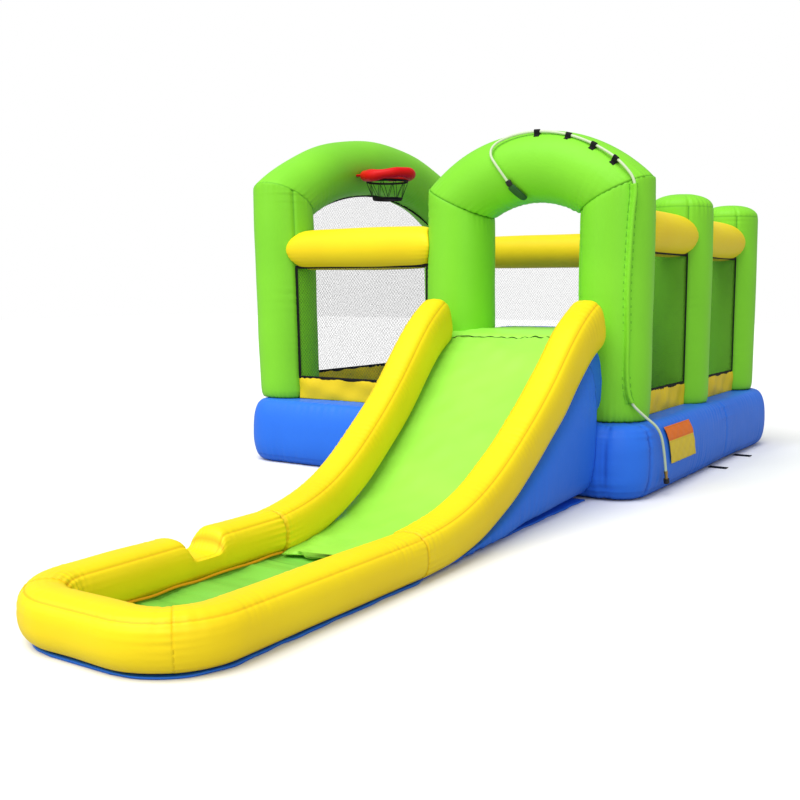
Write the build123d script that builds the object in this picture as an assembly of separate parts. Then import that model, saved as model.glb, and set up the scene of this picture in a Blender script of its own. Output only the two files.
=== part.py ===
"""Inflatable bounce house with a slide and a splash pool: one STEP per piece.

Frame: millimetres, +Z up, the slide runs out towards -Y, +X is to the right of a child who
stands at the pool and faces the house. The lengths are first set from the middle of the slide
arch on the ground; at the end every piece moves so that the origin is at the middle of the
footprint.
"""
from build123d import *
import math
import os

# ---------------------------------------------------------------- driving dimensions
front_wall_y = 0.0                # line through the middles of the front columns
back_wall_y = 2280.0              # line through the middles of the back columns
left_wall_x = -1930.0             # line through the middles of the left columns
right_wall_x = 520.0              # line through the middles of the right columns

base_height = 432.0
base_ledge_front = 160.0          # how far the mattress stands out beyond the columns
base_ledge_back = 90.0
base_ledge_right = 95.0
base_ledge_left = 35.0
base_corner_radius = 250.0
base_edge_radius = 90.0
floor_thickness = 30.0

column_radius = 208.0
slide_arch_radius = 212.0         # the tube of the slide arch is a little thicker
slide_arch_half_span = 520.0
slide_arch_spring_z = 1735.0      # where its legs meet its crown, on the middle line
slide_arch_apex_z = 1925.0        # the crown's middle line at its highest
left_arch_spring_z = 1815.0
left_arch_apex_z = 2142.0
side_column_height = 1390.0       # right-hand columns, above the base
column_dome_height = 90.0

beam_radius = 137.0
beam_outset = 40.0                # beams stand this much outside the columns' middle line
beam_front_z = 1462.0
beam_back_z = 1510.0
beam_right_z = 1535.0

net_outset = 110.0                # nets hang on the outer side of the columns
net_thickness = 6.0
skirt_height = 145.0
skirt_thickness = 14.0
doorway_width = 640.0             # entrance in the back wall
doorway_centre_x = -300.0

platform_height = 945.0           # top of the slide above the ground
platform_depth = 620.0
step_count = 2
step_run = 260.0

slide_top_right_x = 605.0         # outer sides of the two rails at the arch
slide_top_left_x = -590.0
slide_foot_y = -2290.0            # where the bed reaches the pool
rail_width = 200.0                # also the width of the pool's wall
rail_top_height = 300.0
bed_thickness = 18.0
wall_inset = 45.0                 # the slide's blue sides stand this far inside the rails

pool_left_x = -290.0              # outer sides of the pool's wall
pool_right_x = 650.0
pool_front_y = -3710.0
pool_wall_height = 205.0
pool_corner_radius = 230.0
notch_middle_y = -2870.0
notch_depth = 60.0
notch_radius = 330.0
ground_sheet_thickness = 8.0
ground_sheet_margin = 22.0
pool_floor_thickness = 14.0

hoop_radius = 165.0               # to the middle of the ring's tube
hoop_tube_radius = 36.0
hoop_z = 2035.0
hoop_y = 700.0
hoop_net_length = 230.0
hoop_strap_width = 40.0

hose_radius = 8.0
hose_gap = 3.0                    # hose to fabric
loop_width = 34.0
loop_thickness = 3.0
sleeve_thickness = 3.0

seam_gap = 1.0                    # between pieces that are sewn together
chamber_wall = 20.0               # round the air chambers; real cloth is thinner
press_gap = 0.3

blower_y = 3010.0
blower_x = -1180.0
blower_radius = 150.0
blower_width = 170.0
inlet_tube_radius = 82.0
inlet_tube_z = 200.0


# ---------------------------------------------------------------- helpers
def upright(radius, height, x, y, z=base_height):
    """A standing cylinder whose foot is at z."""
    return Pos(x, y, z + height / 2) * Cylinder(radius, height)


def block(x0, x1, y0, y1, z0, z1):
    """A box between two corners."""
    size = (x1 - x0, y1 - y0, z1 - z0)
    return Pos((x0 + x1) / 2, (y0 + y1) / 2, (z0 + z1) / 2) * Box(*size)


def leg_chamber(radius, x, y, foot_z, top_z):
    """The air space in a standing tube, a wall inside it and a wall above its foot."""
    height = top_z - foot_z - chamber_wall
    return upright(radius - chamber_wall, height, x, y, foot_z + chamber_wall)


def arch_pieces(half_span, spring_z, apex_z, radius, foot_z):
    """Two legs and a crown in the XZ plane, parted at mitres that halve the bend."""
    rise = apex_z - spring_z
    bend_radius = (half_span ** 2 + rise ** 2) / (2 * rise)
    centre = Vector(0, 0, apex_z - bend_radius)
    start = math.degrees(math.asin(half_span / bend_radius))
    over = 1.6 * radius / bend_radius
    steep = math.radians(start)
    ring = bend_radius
    low = steep + over
    path = ThreePointArc(
        (centre.X - ring * math.sin(low), 0, centre.Z + ring * math.cos(low)),
        (0, 0, apex_z),
        (centre.X + ring * math.sin(low), 0, centre.Z + ring * math.cos(low)),
    )
    section = Plane(origin=path @ 0, z_dir=path % 0) * Circle(radius)
    crown = sweep(section, path=path)
    legs = []
    half_turn = math.radians((90 - start) / 2)
    for side in (-1, 1):
        corner = Vector(side * half_span, 0, spring_z)
        # the mitre's normal leans half way from the leg's axis to the crown's
        normal = Vector(-side * math.sin(half_turn), 0, math.cos(half_turn))
        leg = upright(radius, spring_z - foot_z + 2 * radius, side * half_span, 0, foot_z)
        below = Plane(origin=corner - normal * (seam_gap / 2), z_dir=normal)
        above = Plane(origin=corner + normal * (seam_gap / 2), z_dir=normal)
        leg = split(leg, bisect_by=below, keep=Keep.BOTTOM)
        chamber_top = spring_z - radius * math.tan(half_turn) - chamber_wall
        legs.append(leg - leg_chamber(radius, side * half_span, 0, foot_z, chamber_top))
        crown = split(crown, bisect_by=above, keep=Keep.TOP)
    return legs[0], legs[1], crown


def domed_column(radius, height, dome, x, y):
    """A standing tube with a low rounded top."""
    body = upright(radius, height - dome, x, y)
    sphere_radius = (radius ** 2 + dome ** 2) / (2 * dome)
    cap_centre_z = base_height + height - sphere_radius
    cap = upright(radius, dome, x, y, base_height + height - dome)
    cap = cap & (Pos(x, y, cap_centre_z) * Sphere(sphere_radius))
    chamber_top = base_height + height - dome - chamber_wall
    return body + cap - leg_chamber(radius, x, y, base_height, chamber_top)


def minus(shape, *tools):
    """Cuts several tools from a shape."""
    for tool in tools:
        shape = shape - tool
    return shape


def one_solid(shape):
    """The single largest solid of a cut."""
    return max(shape.solids(), key=lambda solid: solid.volume)


pieces = {}


def keep(name, shape):
    """Files a piece under its node name."""
    pieces[name] = shape


# ---------------------------------------------------------------- mattress
base_left = left_wall_x - column_radius - base_ledge_left
base_right = right_wall_x + column_radius + base_ledge_right
base_front = front_wall_y - column_radius - base_ledge_front
base_back = back_wall_y + column_radius + base_ledge_back

mattress = block(base_left, base_right, base_front, base_back, 0, base_height)
mattress = fillet(mattress.edges().filter_by(Axis.Z), base_corner_radius)
rims = mattress.edges().group_by(Axis.Z)
mattress = fillet(rims[0] + rims[-1], base_edge_radius)

# the bouncing floor is let into the top of the mattress, between the columns
floor_inset = column_radius + 20.0
floor_pocket = block(
    left_wall_x + floor_inset, right_wall_x - floor_inset,
    front_wall_y + floor_inset, back_wall_y - floor_inset,
    base_height - floor_thickness, base_height + 1,
)
bounce_floor = block(
    left_wall_x + floor_inset + seam_gap, right_wall_x - floor_inset - seam_gap,
    front_wall_y + floor_inset + seam_gap, back_wall_y - floor_inset - seam_gap,
    base_height - floor_thickness + seam_gap, base_height,
)
mattress_chamber = block(
    base_left + chamber_wall, base_right - chamber_wall,
    base_front + chamber_wall, base_back - chamber_wall,
    chamber_wall, base_height - floor_thickness - chamber_wall,
)
mattress_chamber = fillet(
    mattress_chamber.edges().filter_by(Axis.Z), base_corner_radius - chamber_wall
)
chamber_rims = mattress_chamber.edges().group_by(Axis.Z)
mattress_chamber = fillet(chamber_rims[0] + chamber_rims[-1], base_edge_radius - chamber_wall)
keep("base_mattress", mattress - floor_pocket - mattress_chamber)
keep("bounce_floor", bounce_floor)

# ---------------------------------------------------------------- arches and columns
foot_z = base_height + seam_gap
left_leg, right_leg, slide_crown = arch_pieces(
    slide_arch_half_span, slide_arch_spring_z, slide_arch_apex_z, slide_arch_radius, foot_z
)
to_front = Pos(0, front_wall_y, 0)
slide_left_leg = to_front * left_leg
slide_right_leg = to_front * right_leg
slide_crown = to_front * slide_crown
keep("slide_arch_left_leg", slide_left_leg)
keep("slide_arch_right_leg", slide_right_leg)
keep("slide_arch_crown", slide_crown)

left_arch_half_span = (back_wall_y - front_wall_y) / 2
front_leg, rear_leg, left_crown = arch_pieces(
    left_arch_half_span, left_arch_spring_z, left_arch_apex_z, column_radius, foot_z
)
to_left = Pos(left_wall_x, (front_wall_y + back_wall_y) / 2, 0) * Rot(0, 0, 90)
left_front_leg = to_left * front_leg
left_rear_leg = to_left * rear_leg
left_crown = to_left * left_crown
keep("left_arch_front_leg", left_front_leg)
keep("left_arch_rear_leg", left_rear_leg)
keep("left_arch_crown", left_crown)

middle_column_y = (front_wall_y + back_wall_y) / 2
middle_column = domed_column(
    column_radius, side_column_height, column_dome_height, right_wall_x, middle_column_y
)
back_column = domed_column(
    column_radius, side_column_height, column_dome_height, right_wall_x, back_wall_y
)
lift = Pos(0, 0, seam_gap)
keep("right_middle_column", lift * middle_column)
keep("right_back_column", lift * back_column)

# cutters: each column a seam wider, for what is sewn to it
column_tall = left_arch_apex_z


def column_cutter(radius, x, y):
    return upright(radius + seam_gap, column_tall, x, y, 0)


cut_left_front = column_cutter(column_radius, left_wall_x, front_wall_y)
cut_left_rear = column_cutter(column_radius, left_wall_x, back_wall_y)
cut_slide_left = column_cutter(slide_arch_radius, -slide_arch_half_span, front_wall_y)
cut_slide_right = column_cutter(slide_arch_radius, slide_arch_half_span, front_wall_y)
cut_middle = column_cutter(column_radius, right_wall_x, middle_column_y)
cut_back = column_cutter(column_radius, right_wall_x, back_wall_y)


# ---------------------------------------------------------------- beams
def beam(x0, y0, x1, y1, z, extra=0.0):
    """A level tube between two points, its radius larger by extra."""
    length = math.hypot(x1 - x0, y1 - y0)
    turn = math.degrees(math.atan2(y1 - y0, x1 - x0))
    middle = Pos((x0 + x1) / 2, (y0 + y1) / 2, z) * Rot(0, 0, turn) * Rot(0, 90, 0)
    return middle * Cylinder(beam_radius + extra, length)


front_beam_y = front_wall_y - beam_outset
back_beam_y = back_wall_y + beam_outset
right_beam_x = right_wall_x + beam_outset
front_beam = beam(left_wall_x, front_beam_y, -slide_arch_half_span, front_beam_y, beam_front_z)
back_beam = beam(left_wall_x, back_beam_y, right_wall_x, back_beam_y, beam_back_z)
right_beam_a = beam(right_beam_x, front_wall_y, right_beam_x, middle_column_y, beam_right_z)
right_beam_b = beam(right_beam_x, middle_column_y, right_beam_x, back_wall_y, beam_right_z)
keep("front_beam", one_solid(minus(front_beam, cut_left_front, cut_slide_left)))
keep("back_beam", one_solid(minus(back_beam, cut_left_rear, cut_back)))
keep("right_front_beam", one_solid(minus(right_beam_a, cut_slide_right, cut_middle)))
keep("right_rear_beam", one_solid(minus(right_beam_b, cut_middle, cut_back)))


# ---------------------------------------------------------------- nets and skirts
def wall_panel(x0, x1, y0, y1, z0, z1, thickness):
    """A thin upright panel along X or Y between two points."""
    half = thickness / 2
    if x0 == x1:
        return block(x0 - half, x0 + half, min(y0, y1), max(y0, y1), z0, z1)
    return block(min(x0, x1), max(x0, x1), y0 - half, y0 + half, z0, z1)


skirt_top = foot_z + skirt_height
net_foot = skirt_top + seam_gap
front_net_y = front_wall_y - net_outset
back_net_y = back_wall_y + net_outset
right_net_x = right_wall_x + net_outset
left_net_x = left_wall_x
door_left = doorway_centre_x - doorway_width / 2
door_right = doorway_centre_x + doorway_width / 2


bays = {
    "front": (left_wall_x, front_net_y, -slide_arch_half_span, front_net_y, beam_front_z,
              (left_wall_x, front_beam_y, -slide_arch_half_span, front_beam_y, beam_front_z),
              (cut_left_front, cut_slide_left)),
    "back_left": (left_wall_x, back_net_y, door_left, back_net_y, beam_back_z,
                  (left_wall_x, back_beam_y, right_wall_x, back_beam_y, beam_back_z),
                  (cut_left_rear,)),
    "back_right": (door_right, back_net_y, right_wall_x, back_net_y, beam_back_z,
                   (left_wall_x, back_beam_y, right_wall_x, back_beam_y, beam_back_z),
                   (cut_back,)),
    "right_front": (right_net_x, front_wall_y, right_net_x, middle_column_y, beam_right_z,
                    (right_beam_x, front_wall_y, right_beam_x, middle_column_y, beam_right_z),
                    (cut_slide_right, cut_middle)),
    "right_rear": (right_net_x, middle_column_y, right_net_x, back_wall_y, beam_right_z,
                   (right_beam_x, middle_column_y, right_beam_x, back_wall_y, beam_right_z),
                   (cut_middle, cut_back)),
}
for bay, (x0, y0, x1, y1, top, beam_line, columns) in bays.items():
    net = wall_panel(x0, x1, y0, y1, net_foot, top, net_thickness)
    net = minus(net, *columns, beam(*beam_line, extra=seam_gap))
    lower = [solid for solid in net.solids() if solid.center().Z < top]
    keep(bay + "_net", max(lower, key=lambda solid: solid.volume))
    skirt = wall_panel(x0, x1, y0, y1, foot_z, skirt_top, skirt_thickness)
    keep(bay + "_skirt", one_solid(minus(skirt, *columns)))

# the left wall's net fills its arch; its top follows the underside of the crown
left_rise = left_arch_apex_z - left_arch_spring_z
left_bend = (left_arch_half_span ** 2 + left_rise ** 2) / (2 * left_rise)
left_middle = (front_wall_y + back_wall_y) / 2
under_crown = left_bend - column_radius - seam_gap
crown_disc = Pos(left_wall_x, left_middle, left_arch_apex_z - left_bend) * Rot(0, 90, 0)
crown_disc = crown_disc * Cylinder(under_crown, net_thickness)
left_net = wall_panel(
    left_net_x, left_net_x, front_wall_y, back_wall_y, net_foot, left_arch_apex_z, net_thickness
)
keep("left_net", one_solid(minus(left_net & crown_disc, cut_left_front, cut_left_rear)))
left_skirt = wall_panel(
    left_net_x, left_net_x, front_wall_y, back_wall_y, foot_z, skirt_top, skirt_thickness
)
keep("left_skirt", one_solid(minus(left_skirt, cut_left_front, cut_left_rear)))

# ---------------------------------------------------------------- platform and steps
platform_left = -slide_arch_half_span + 10
platform_right = slide_arch_half_span - 10
platform_back = front_wall_y + platform_depth
platform = block(
    platform_left, platform_right, front_wall_y - 60, platform_back, foot_z, platform_height
)
platform = minus(platform, cut_slide_left, cut_slide_right)
keep("platform", one_solid(platform))
steps_right = right_wall_x - column_radius - 40
step_rise = (platform_height - base_height) / (step_count + 1)
steps = []
for number in range(step_count):
    step_top = platform_height - (number + 1) * step_rise
    step_front = platform_back + seam_gap
    step_back = step_front + (number + 1) * step_run
    steps.append(block(platform_left, steps_right, step_front, step_back, foot_z, step_top))
climbing_steps = steps[0]
for step in steps[1:]:
    climbing_steps += step
keep("climbing_steps", climbing_steps)

# ---------------------------------------------------------------- slide
# side view of the bed, from the platform edge to the pool: (y, z of the bed's top)
bed_profile = [
    (front_wall_y - 61, platform_height),
    (front_wall_y - 230, platform_height - 18),
    (-560, 730),
    (-1050, 395),
    (-1450, 165),
    (-1850, 66),
    (slide_foot_y, 44),
]
pool_wall_z = ground_sheet_thickness + press_gap + pool_wall_height / 2
# side view of the rails' middle line; they end as the pool's wall
rail_profile = [
    (-300, 1025),
    (-560, 905),
    (-900, 655),
    (-1250, 425),
    (-1600, 245),
    (-1950, 140),
    (slide_foot_y, pool_wall_z),
]
rail_top_y = rail_profile[0][0]


def taper(y, top_x, foot_x):
    """The x of a line that runs straight from the slide's top to its foot."""
    share = (y - rail_top_y) / (slide_foot_y - rail_top_y)
    return top_x + share * (foot_x - top_x)


def left_side(y):
    return taper(y, slide_top_left_x, pool_left_x)


def right_side(y):
    return taper(y, slide_top_right_x, pool_right_x)


def side_band(upper, lower_z, x0, x1):
    """A solid whose top follows a curve of (y, z) points and whose foot is level."""
    first, last = upper[0], upper[-1]
    outline = Wire([
        Spline(*[(x0, y, z) for y, z in upper]),
        Line((x0, last[0], last[1]), (x0, last[0], lower_z)),
        Line((x0, last[0], lower_z), (x0, first[0], lower_z)),
        Line((x0, first[0], lower_z), (x0, first[0], first[1])),
    ])
    return Solid.extrude(Face(outline), Vector(x1 - x0, 0, 0))


slide_plan = Polyline(
    (left_side(slide_foot_y) + wall_inset, slide_foot_y),
    (right_side(slide_foot_y) - wall_inset, slide_foot_y),
    (right_side(front_wall_y) - wall_inset, front_wall_y),
    (left_side(front_wall_y) + wall_inset, front_wall_y),
    close=True,
)
slide_prism = extrude(make_face(slide_plan), amount=2 * platform_height)
slide_x0 = min(slide_top_left_x, pool_left_x)
slide_x1 = max(slide_top_right_x, pool_right_x)
ground_z = ground_sheet_thickness + press_gap
rail_run_on = 60.0               # the rails are cut square at the slide's foot


def rail(side_x, sign):
    """An upright oval tube along one side; it gets lower towards the pool's wall."""
    past_foot = (slide_foot_y - rail_run_on, pool_wall_z)
    profile = rail_profile[:-1] + [past_foot]
    points = [(side_x(y) - sign * rail_width / 2, y, z) for y, z in profile]
    path = Spline(*points)
    top = Plane(origin=path @ 0, x_dir=(1, 0, 0), z_dir=path % 0)
    foot = Plane(origin=path @ 1, x_dir=(1, 0, 0), z_dir=path % 1)
    sections = [
        top * Ellipse(rail_width / 2, rail_top_height / 2),
        foot * Ellipse(rail_width / 2, pool_wall_height / 2),
    ]
    return sweep(sections=sections, path=path, multisection=True)


leg_cutters = [cut_slide_left, cut_slide_right]
below_sheet = block(2 * slide_x0, 2 * slide_x1, pool_front_y, 0, -column_tall, ground_z)
below_sheet += block(
    2 * slide_x0, 2 * slide_x1, pool_front_y, slide_foot_y, -column_tall, column_tall
)
right_rail = one_solid(minus(rail(right_side, 1), *leg_cutters, below_sheet))
left_rail = one_solid(minus(rail(left_side, -1), *leg_cutters, below_sheet))
keep("right_rail", right_rail)
keep("left_rail", left_rail)

body_profile = [(y, z - bed_thickness - seam_gap) for y, z in bed_profile]
slide_body = side_band(body_profile, ground_z, slide_x0, slide_x1) & slide_prism
mattress_space = block(
    base_left, base_right, base_front - seam_gap, base_back, 0, base_height + seam_gap
)
slide_body = minus(slide_body, mattress_space, *leg_cutters, right_rail, left_rail)
keep("slide_body", one_solid(slide_body))
bed_under = [(y, z - bed_thickness) for y, z in bed_profile]
bed = side_band(bed_profile, 0, slide_x0, slide_x1)
bed = (bed - side_band(bed_under, -1, slide_x0, slide_x1)) & slide_prism
keep("slide_bed", one_solid(minus(bed, *leg_cutters, right_rail, left_rail)))

# ---------------------------------------------------------------- splash pool
wall_left_x = pool_left_x + rail_width / 2
wall_right_x = pool_right_x - rail_width / 2
wall_front_y = pool_front_y + rail_width / 2
wall_start_y = slide_foot_y - seam_gap


def pool_ring(extra):
    """The pool's wall as one U-shaped tube, its section larger by extra all round."""
    path = FilletPolyline(
        (wall_right_x, wall_start_y, pool_wall_z),
        (wall_right_x, wall_front_y, pool_wall_z),
        (wall_left_x, wall_front_y, pool_wall_z),
        (wall_left_x, wall_start_y, pool_wall_z),
        radius=pool_corner_radius,
    )
    section = Plane(origin=path @ 0, x_dir=(1, 0, 0), z_dir=path % 0)
    section = section * Ellipse(rail_width / 2 + extra, pool_wall_height / 2 + extra)
    return sweep(section, path=path)


ring = pool_ring(0)
corner_y = wall_front_y + pool_corner_radius
right_mitre = Vector(wall_right_x - pool_corner_radius, corner_y, 0)
left_mitre = Vector(wall_left_x + pool_corner_radius, corner_y, 0)
half_seam = seam_gap / 2


def beyond(shape, corner, normal, shift, side):
    """The part of a shape on one side of an upright plane."""
    plane = Plane(origin=corner + Vector(*normal).normalized() * shift, z_dir=normal)
    return split(shape, bisect_by=plane, keep=side)


to_right = (1, 1, 0)
to_left_side = (-1, 1, 0)
right_wall = beyond(ring, right_mitre, to_right, half_seam, Keep.TOP)
left_wall = beyond(ring, left_mitre, to_left_side, half_seam, Keep.TOP)
right_wall = max(right_wall.solids(), key=lambda solid: solid.center().X)
left_wall = min(left_wall.solids(), key=lambda solid: solid.center().X)
front_wall = beyond(ring, right_mitre, to_right, -half_seam, Keep.BOTTOM)
front_wall = beyond(front_wall, left_mitre, to_left_side, -half_seam, Keep.BOTTOM)
wall_top_z = pool_wall_z + pool_wall_height / 2
notch_z = wall_top_z - notch_depth + notch_radius
notch = Pos(wall_left_x, notch_middle_y, notch_z) * Rot(0, 90, 0)
notch = notch * Cylinder(notch_radius, 2 * rail_width)
keep("pool_right_wall", right_wall)
keep("pool_front_wall", one_solid(front_wall))
keep("pool_left_wall", one_solid(left_wall - notch))

floor_top_z = ground_z + pool_floor_thickness
pool_floor = block(
    wall_left_x, wall_right_x, wall_front_y, slide_foot_y - seam_gap, ground_z, floor_top_z
)
keep("pool_floor", one_solid(pool_floor - pool_ring(seam_gap)))

sheet_plan = Polyline(
    (pool_left_x - ground_sheet_margin, pool_front_y - ground_sheet_margin),
    (pool_right_x + ground_sheet_margin, pool_front_y - ground_sheet_margin),
    (pool_right_x + ground_sheet_margin, slide_foot_y),
    (right_side(base_front), base_front - seam_gap),
    (left_side(base_front), base_front - seam_gap),
    (pool_left_x - ground_sheet_margin, slide_foot_y),
    close=True,
)
ground_sheet = extrude(make_face(sheet_plan), amount=ground_sheet_thickness)
front_corners = [
    edge for edge in ground_sheet.edges().filter_by(Axis.Z)
    if edge.center().Y < pool_front_y
]
ground_sheet = fillet(front_corners, pool_corner_radius + rail_width / 2)
keep("ground_sheet", ground_sheet)

# ---------------------------------------------------------------- basketball hoop
crown_drop = left_bend - math.sqrt(left_bend ** 2 - (left_middle - hoop_y) ** 2)
crown_z = left_arch_apex_z - crown_drop
crown_reach = math.sqrt(column_radius ** 2 - (crown_z - hoop_z) ** 2)
hoop_x = left_wall_x + crown_reach + hoop_radius + hoop_tube_radius + 8
ring_place = Pos(hoop_x, hoop_y, hoop_z)
hoop_ring = ring_place * Torus(hoop_radius, hoop_tube_radius)
keep("hoop_ring", hoop_ring)
net_top_z = hoop_z - hoop_tube_radius - seam_gap
net_thread = 4.0
net_outer = Cone(hoop_radius * 0.62, hoop_radius, hoop_net_length)
net_inner = Cone(hoop_radius * 0.62 - net_thread, hoop_radius - net_thread, hoop_net_length)
hoop_net = Pos(hoop_x, hoop_y, net_top_z - hoop_net_length / 2) * (net_outer - net_inner)
keep("hoop_net", hoop_net)
straps = []
left_crown_space = to_left * arch_pieces(
    left_arch_half_span, left_arch_spring_z, left_arch_apex_z, column_radius + seam_gap, foot_z
)[2]
ring_space = ring_place * Torus(hoop_radius, hoop_tube_radius + seam_gap)
for side in (-1, 1):
    y = hoop_y + side * 70
    strap = block(
        left_wall_x + crown_reach - 40, hoop_x - hoop_radius * 0.85,
        y - hoop_strap_width / 2, y + hoop_strap_width / 2, hoop_z - 6, hoop_z + 6,
    )
    straps.append(one_solid(minus(strap, left_crown_space, ring_space)))
keep("hoop_straps", Compound(straps))

# ---------------------------------------------------------------- water hose
slide_rise = slide_arch_apex_z - slide_arch_spring_z
slide_bend = (slide_arch_half_span ** 2 + slide_rise ** 2) / (2 * slide_rise)
hose_stand_off = hose_radius + hose_gap


def on_crown(along, around, lift):
    """A point over the slide crown: degrees along the arch and round its tube to the front."""
    along, around = math.radians(along), math.radians(around)
    reach = slide_arch_radius + lift
    ring_radius = slide_bend + reach * math.cos(around)
    return (
        ring_radius * math.sin(along),
        front_wall_y - reach * math.sin(around),
        slide_arch_apex_z - slide_bend + ring_radius * math.cos(along),
    )


def on_leg(around, z, lift):
    """A point beside the right leg: degrees round it from +X to the front."""
    around = math.radians(around)
    reach = slide_arch_radius + lift
    return (
        slide_arch_half_span + reach * math.cos(around),
        front_wall_y - reach * math.sin(around),
        z,
    )


clear = hose_stand_off + 7        # runs between the points cut inside them
base_side = base_right + hose_stand_off + 4
hose_points = [
    on_crown(-7.0, 112, clear + 6),
    on_crown(-10.5, 88, clear + 8),
    on_crown(-13.5, 66, clear + 8),
    on_crown(-11.5, 47, clear + 8),
    on_crown(-2.5, 33, clear + 4),
    on_crown(9.0, 29, clear),
    on_crown(20.0, 33, clear),
    on_crown(30.5, 38, clear + 6),
    on_crown(38.5, 43, clear + 16),
    on_leg(44, slide_arch_spring_z + 50, clear + 14),
    on_leg(48, slide_arch_spring_z - 130, clear + 2),
    on_leg(50, 1400, clear - 2),
    on_leg(52, 1170, clear - 3),
    on_leg(50, 940, clear - 4),
    on_leg(51, 720, clear - 4),
    on_leg(47, 560, clear),
    (base_side - 84, front_wall_y - 128, base_height + 44),
    (base_side - 6, front_wall_y - 76, base_height - 30),
    (base_side + 4, front_wall_y - 18, 265),
    (base_side + 4, front_wall_y + 20, 130),
]


def bend_radii(points, share):
    """For each corner, a share of its shorter run over the tangent of half the turn."""
    radii = []
    for before, here, after in zip(points, points[1:], points[2:]):
        first = Vector(*here) - Vector(*before)
        second = Vector(*after) - Vector(*here)
        half = math.radians(first.get_angle(second)) / 2
        radii.append(share * min(first.length, second.length) / math.tan(half))
    return radii


radii = bend_radii(hose_points, 0.45)
print("hose radii", [round(radius) for radius in radii])
hose_path = FilletPolyline(*hose_points, radius=radii)
hose_section = Plane(origin=hose_path @ 0, z_dir=hose_path % 0) * Circle(hose_radius)
hose = sweep(hose_section, path=hose_path)
print("hose length", round(hose_path.length), "volume ratio",
      round(hose.volume / (math.pi * hose_radius ** 2 * hose_path.length), 4))
keep("water_hose", hose)


def tube_along(start, end, inner, outer, middle_share, length):
    """A short open tube round the run between two points."""
    start, end = Vector(*start), Vector(*end)
    axis = (end - start).normalized()
    middle = start + (end - start) * middle_share
    place = Plane(origin=middle, z_dir=axis).location
    return place * (Cylinder(outer, length) - Cylinder(inner, length + 2))


sleeve_bore = hose_radius + press_gap
loops = [
    tube_along(hose_points[n], hose_points[n + 1], sleeve_bore, sleeve_bore + loop_thickness,
               0.5, loop_width)
    for n in (4, 5, 6, 7)
]
keep("hose_loops", Compound(loops))
easy_bore = hose_radius + 1.5      # the long sleeves leave room for the hose's slow bends
sleeves = [
    tube_along(hose_points[n], hose_points[n + 1], easy_bore,
               easy_bore + sleeve_thickness, 0.5, 110)
    for n in (10, 11, 12, 13)
]
sleeves.append(tube_along(hose_points[17], hose_points[18], easy_bore,
                          easy_bore + sleeve_thickness, 0.5, 50))
keep("hose_sleeves", Compound(sleeves))

# the spray head sits on the crown's front, its hose coming in from above
head_front = front_wall_y - slide_arch_radius - 30
spray_head = block(-138, -52, head_front, front_wall_y - 120, 1742, 1846)
spray_head = fillet(spray_head.edges().filter_by(Axis.Y), 14)
slide_crown_space = to_front * arch_pieces(
    slide_arch_half_span, slide_arch_spring_z, slide_arch_apex_z,
    slide_arch_radius + seam_gap, foot_z,
)[2]
hose_space = sweep(
    Plane(origin=hose_path @ 0, z_dir=hose_path % 0) * Circle(hose_radius + press_gap),
    path=hose_path,
)
keep("spray_head", one_solid(minus(spray_head, slide_crown_space, hose_space)))

# the hose ends in a tail piece with a turning collar, as on a garden hose
hose_end = Vector(*hose_points[-1])
down = (hose_end - Vector(*hose_points[-2])).normalized()
tail_radius = 9.5
tail_length = 46.0
flange_radius = 12.5
collar_radius = 17.0
collar_length = 26.0
collar_clearance = 0.05


def along_end(distance):
    """A plane across the hose's end, this far beyond it."""
    return Plane(origin=hose_end + down * distance, z_dir=down).location


grip = 18.0                       # the ferrule grips the hose's last stretch
ferrule = along_end(-grip / 2) * (Cylinder(sleeve_bore + 3, grip) - Cylinder(sleeve_bore, grip + 2))
tail = along_end(tail_length / 2) * Cylinder(tail_radius, tail_length)
flange = along_end(tail_length - 2) * Cylinder(flange_radius, 4)
seat = along_end(0.75 + press_gap) * Cylinder(sleeve_bore + 3, 1.5)
water_bore = along_end(tail_length / 2) * Cylinder(5, tail_length + 40)
tail = one_solid(tail + flange + seat + ferrule - water_bore - hose_space)
keep("coupling_tail", tail)
collar_start = tail_length - 4 - 0.4 - 8
collar = along_end(collar_start + collar_length / 2) * Cylinder(collar_radius, collar_length)
neck = along_end(collar_start + 4) * Cylinder(tail_radius + collar_clearance, 10)
hollow_start = collar_start + 8
hollow = along_end(hollow_start + collar_length / 2) * Cylinder(
    flange_radius + 0.6, collar_length
)
keep("coupling_collar", collar - neck - hollow)
collar_middle = hose_end + down * (collar_start + collar_length / 2)

# ---------------------------------------------------------------- label, loops and zipper
label_z0, label_z1 = 130.0, 340.0
label_y0, label_y1 = front_wall_y + 120, front_wall_y + 560
label_thickness = 1.5
keep("safety_label", block(
    base_right + press_gap, base_right + press_gap + label_thickness,
    label_y0, label_y1, label_z0, label_z1,
))

anchor_width = 60.0
anchor_reach = 60.0
anchor_root = 60.0
anchor_hole_radius = 12.0
anchor_thickness = 4.0
anchors = []
for x in (left_wall_x + 300, right_wall_x - 300):
    tab = block(x - anchor_width / 2, x + anchor_width / 2, base_back - anchor_root,
                base_back + anchor_reach, 0, anchor_thickness)
    hole = Pos(x, base_back + anchor_reach - 24, 0) * Cylinder(anchor_hole_radius, 20)
    anchors.append(tab - hole)
for y in (middle_column_y + 600, middle_column_y):
    for side, edge in ((-1, base_left), (1, base_right)):
        x0, x1 = sorted((edge - side * anchor_root, edge + side * anchor_reach))
        tab = block(x0, x1, y - anchor_width / 2, y + anchor_width / 2, 0, anchor_thickness)
        hole_x = edge + side * (anchor_reach - 24)
        anchors.append(tab - Pos(hole_x, y, 0) * Cylinder(anchor_hole_radius, 20))
keep("anchor_tabs", Compound(anchors))

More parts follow.
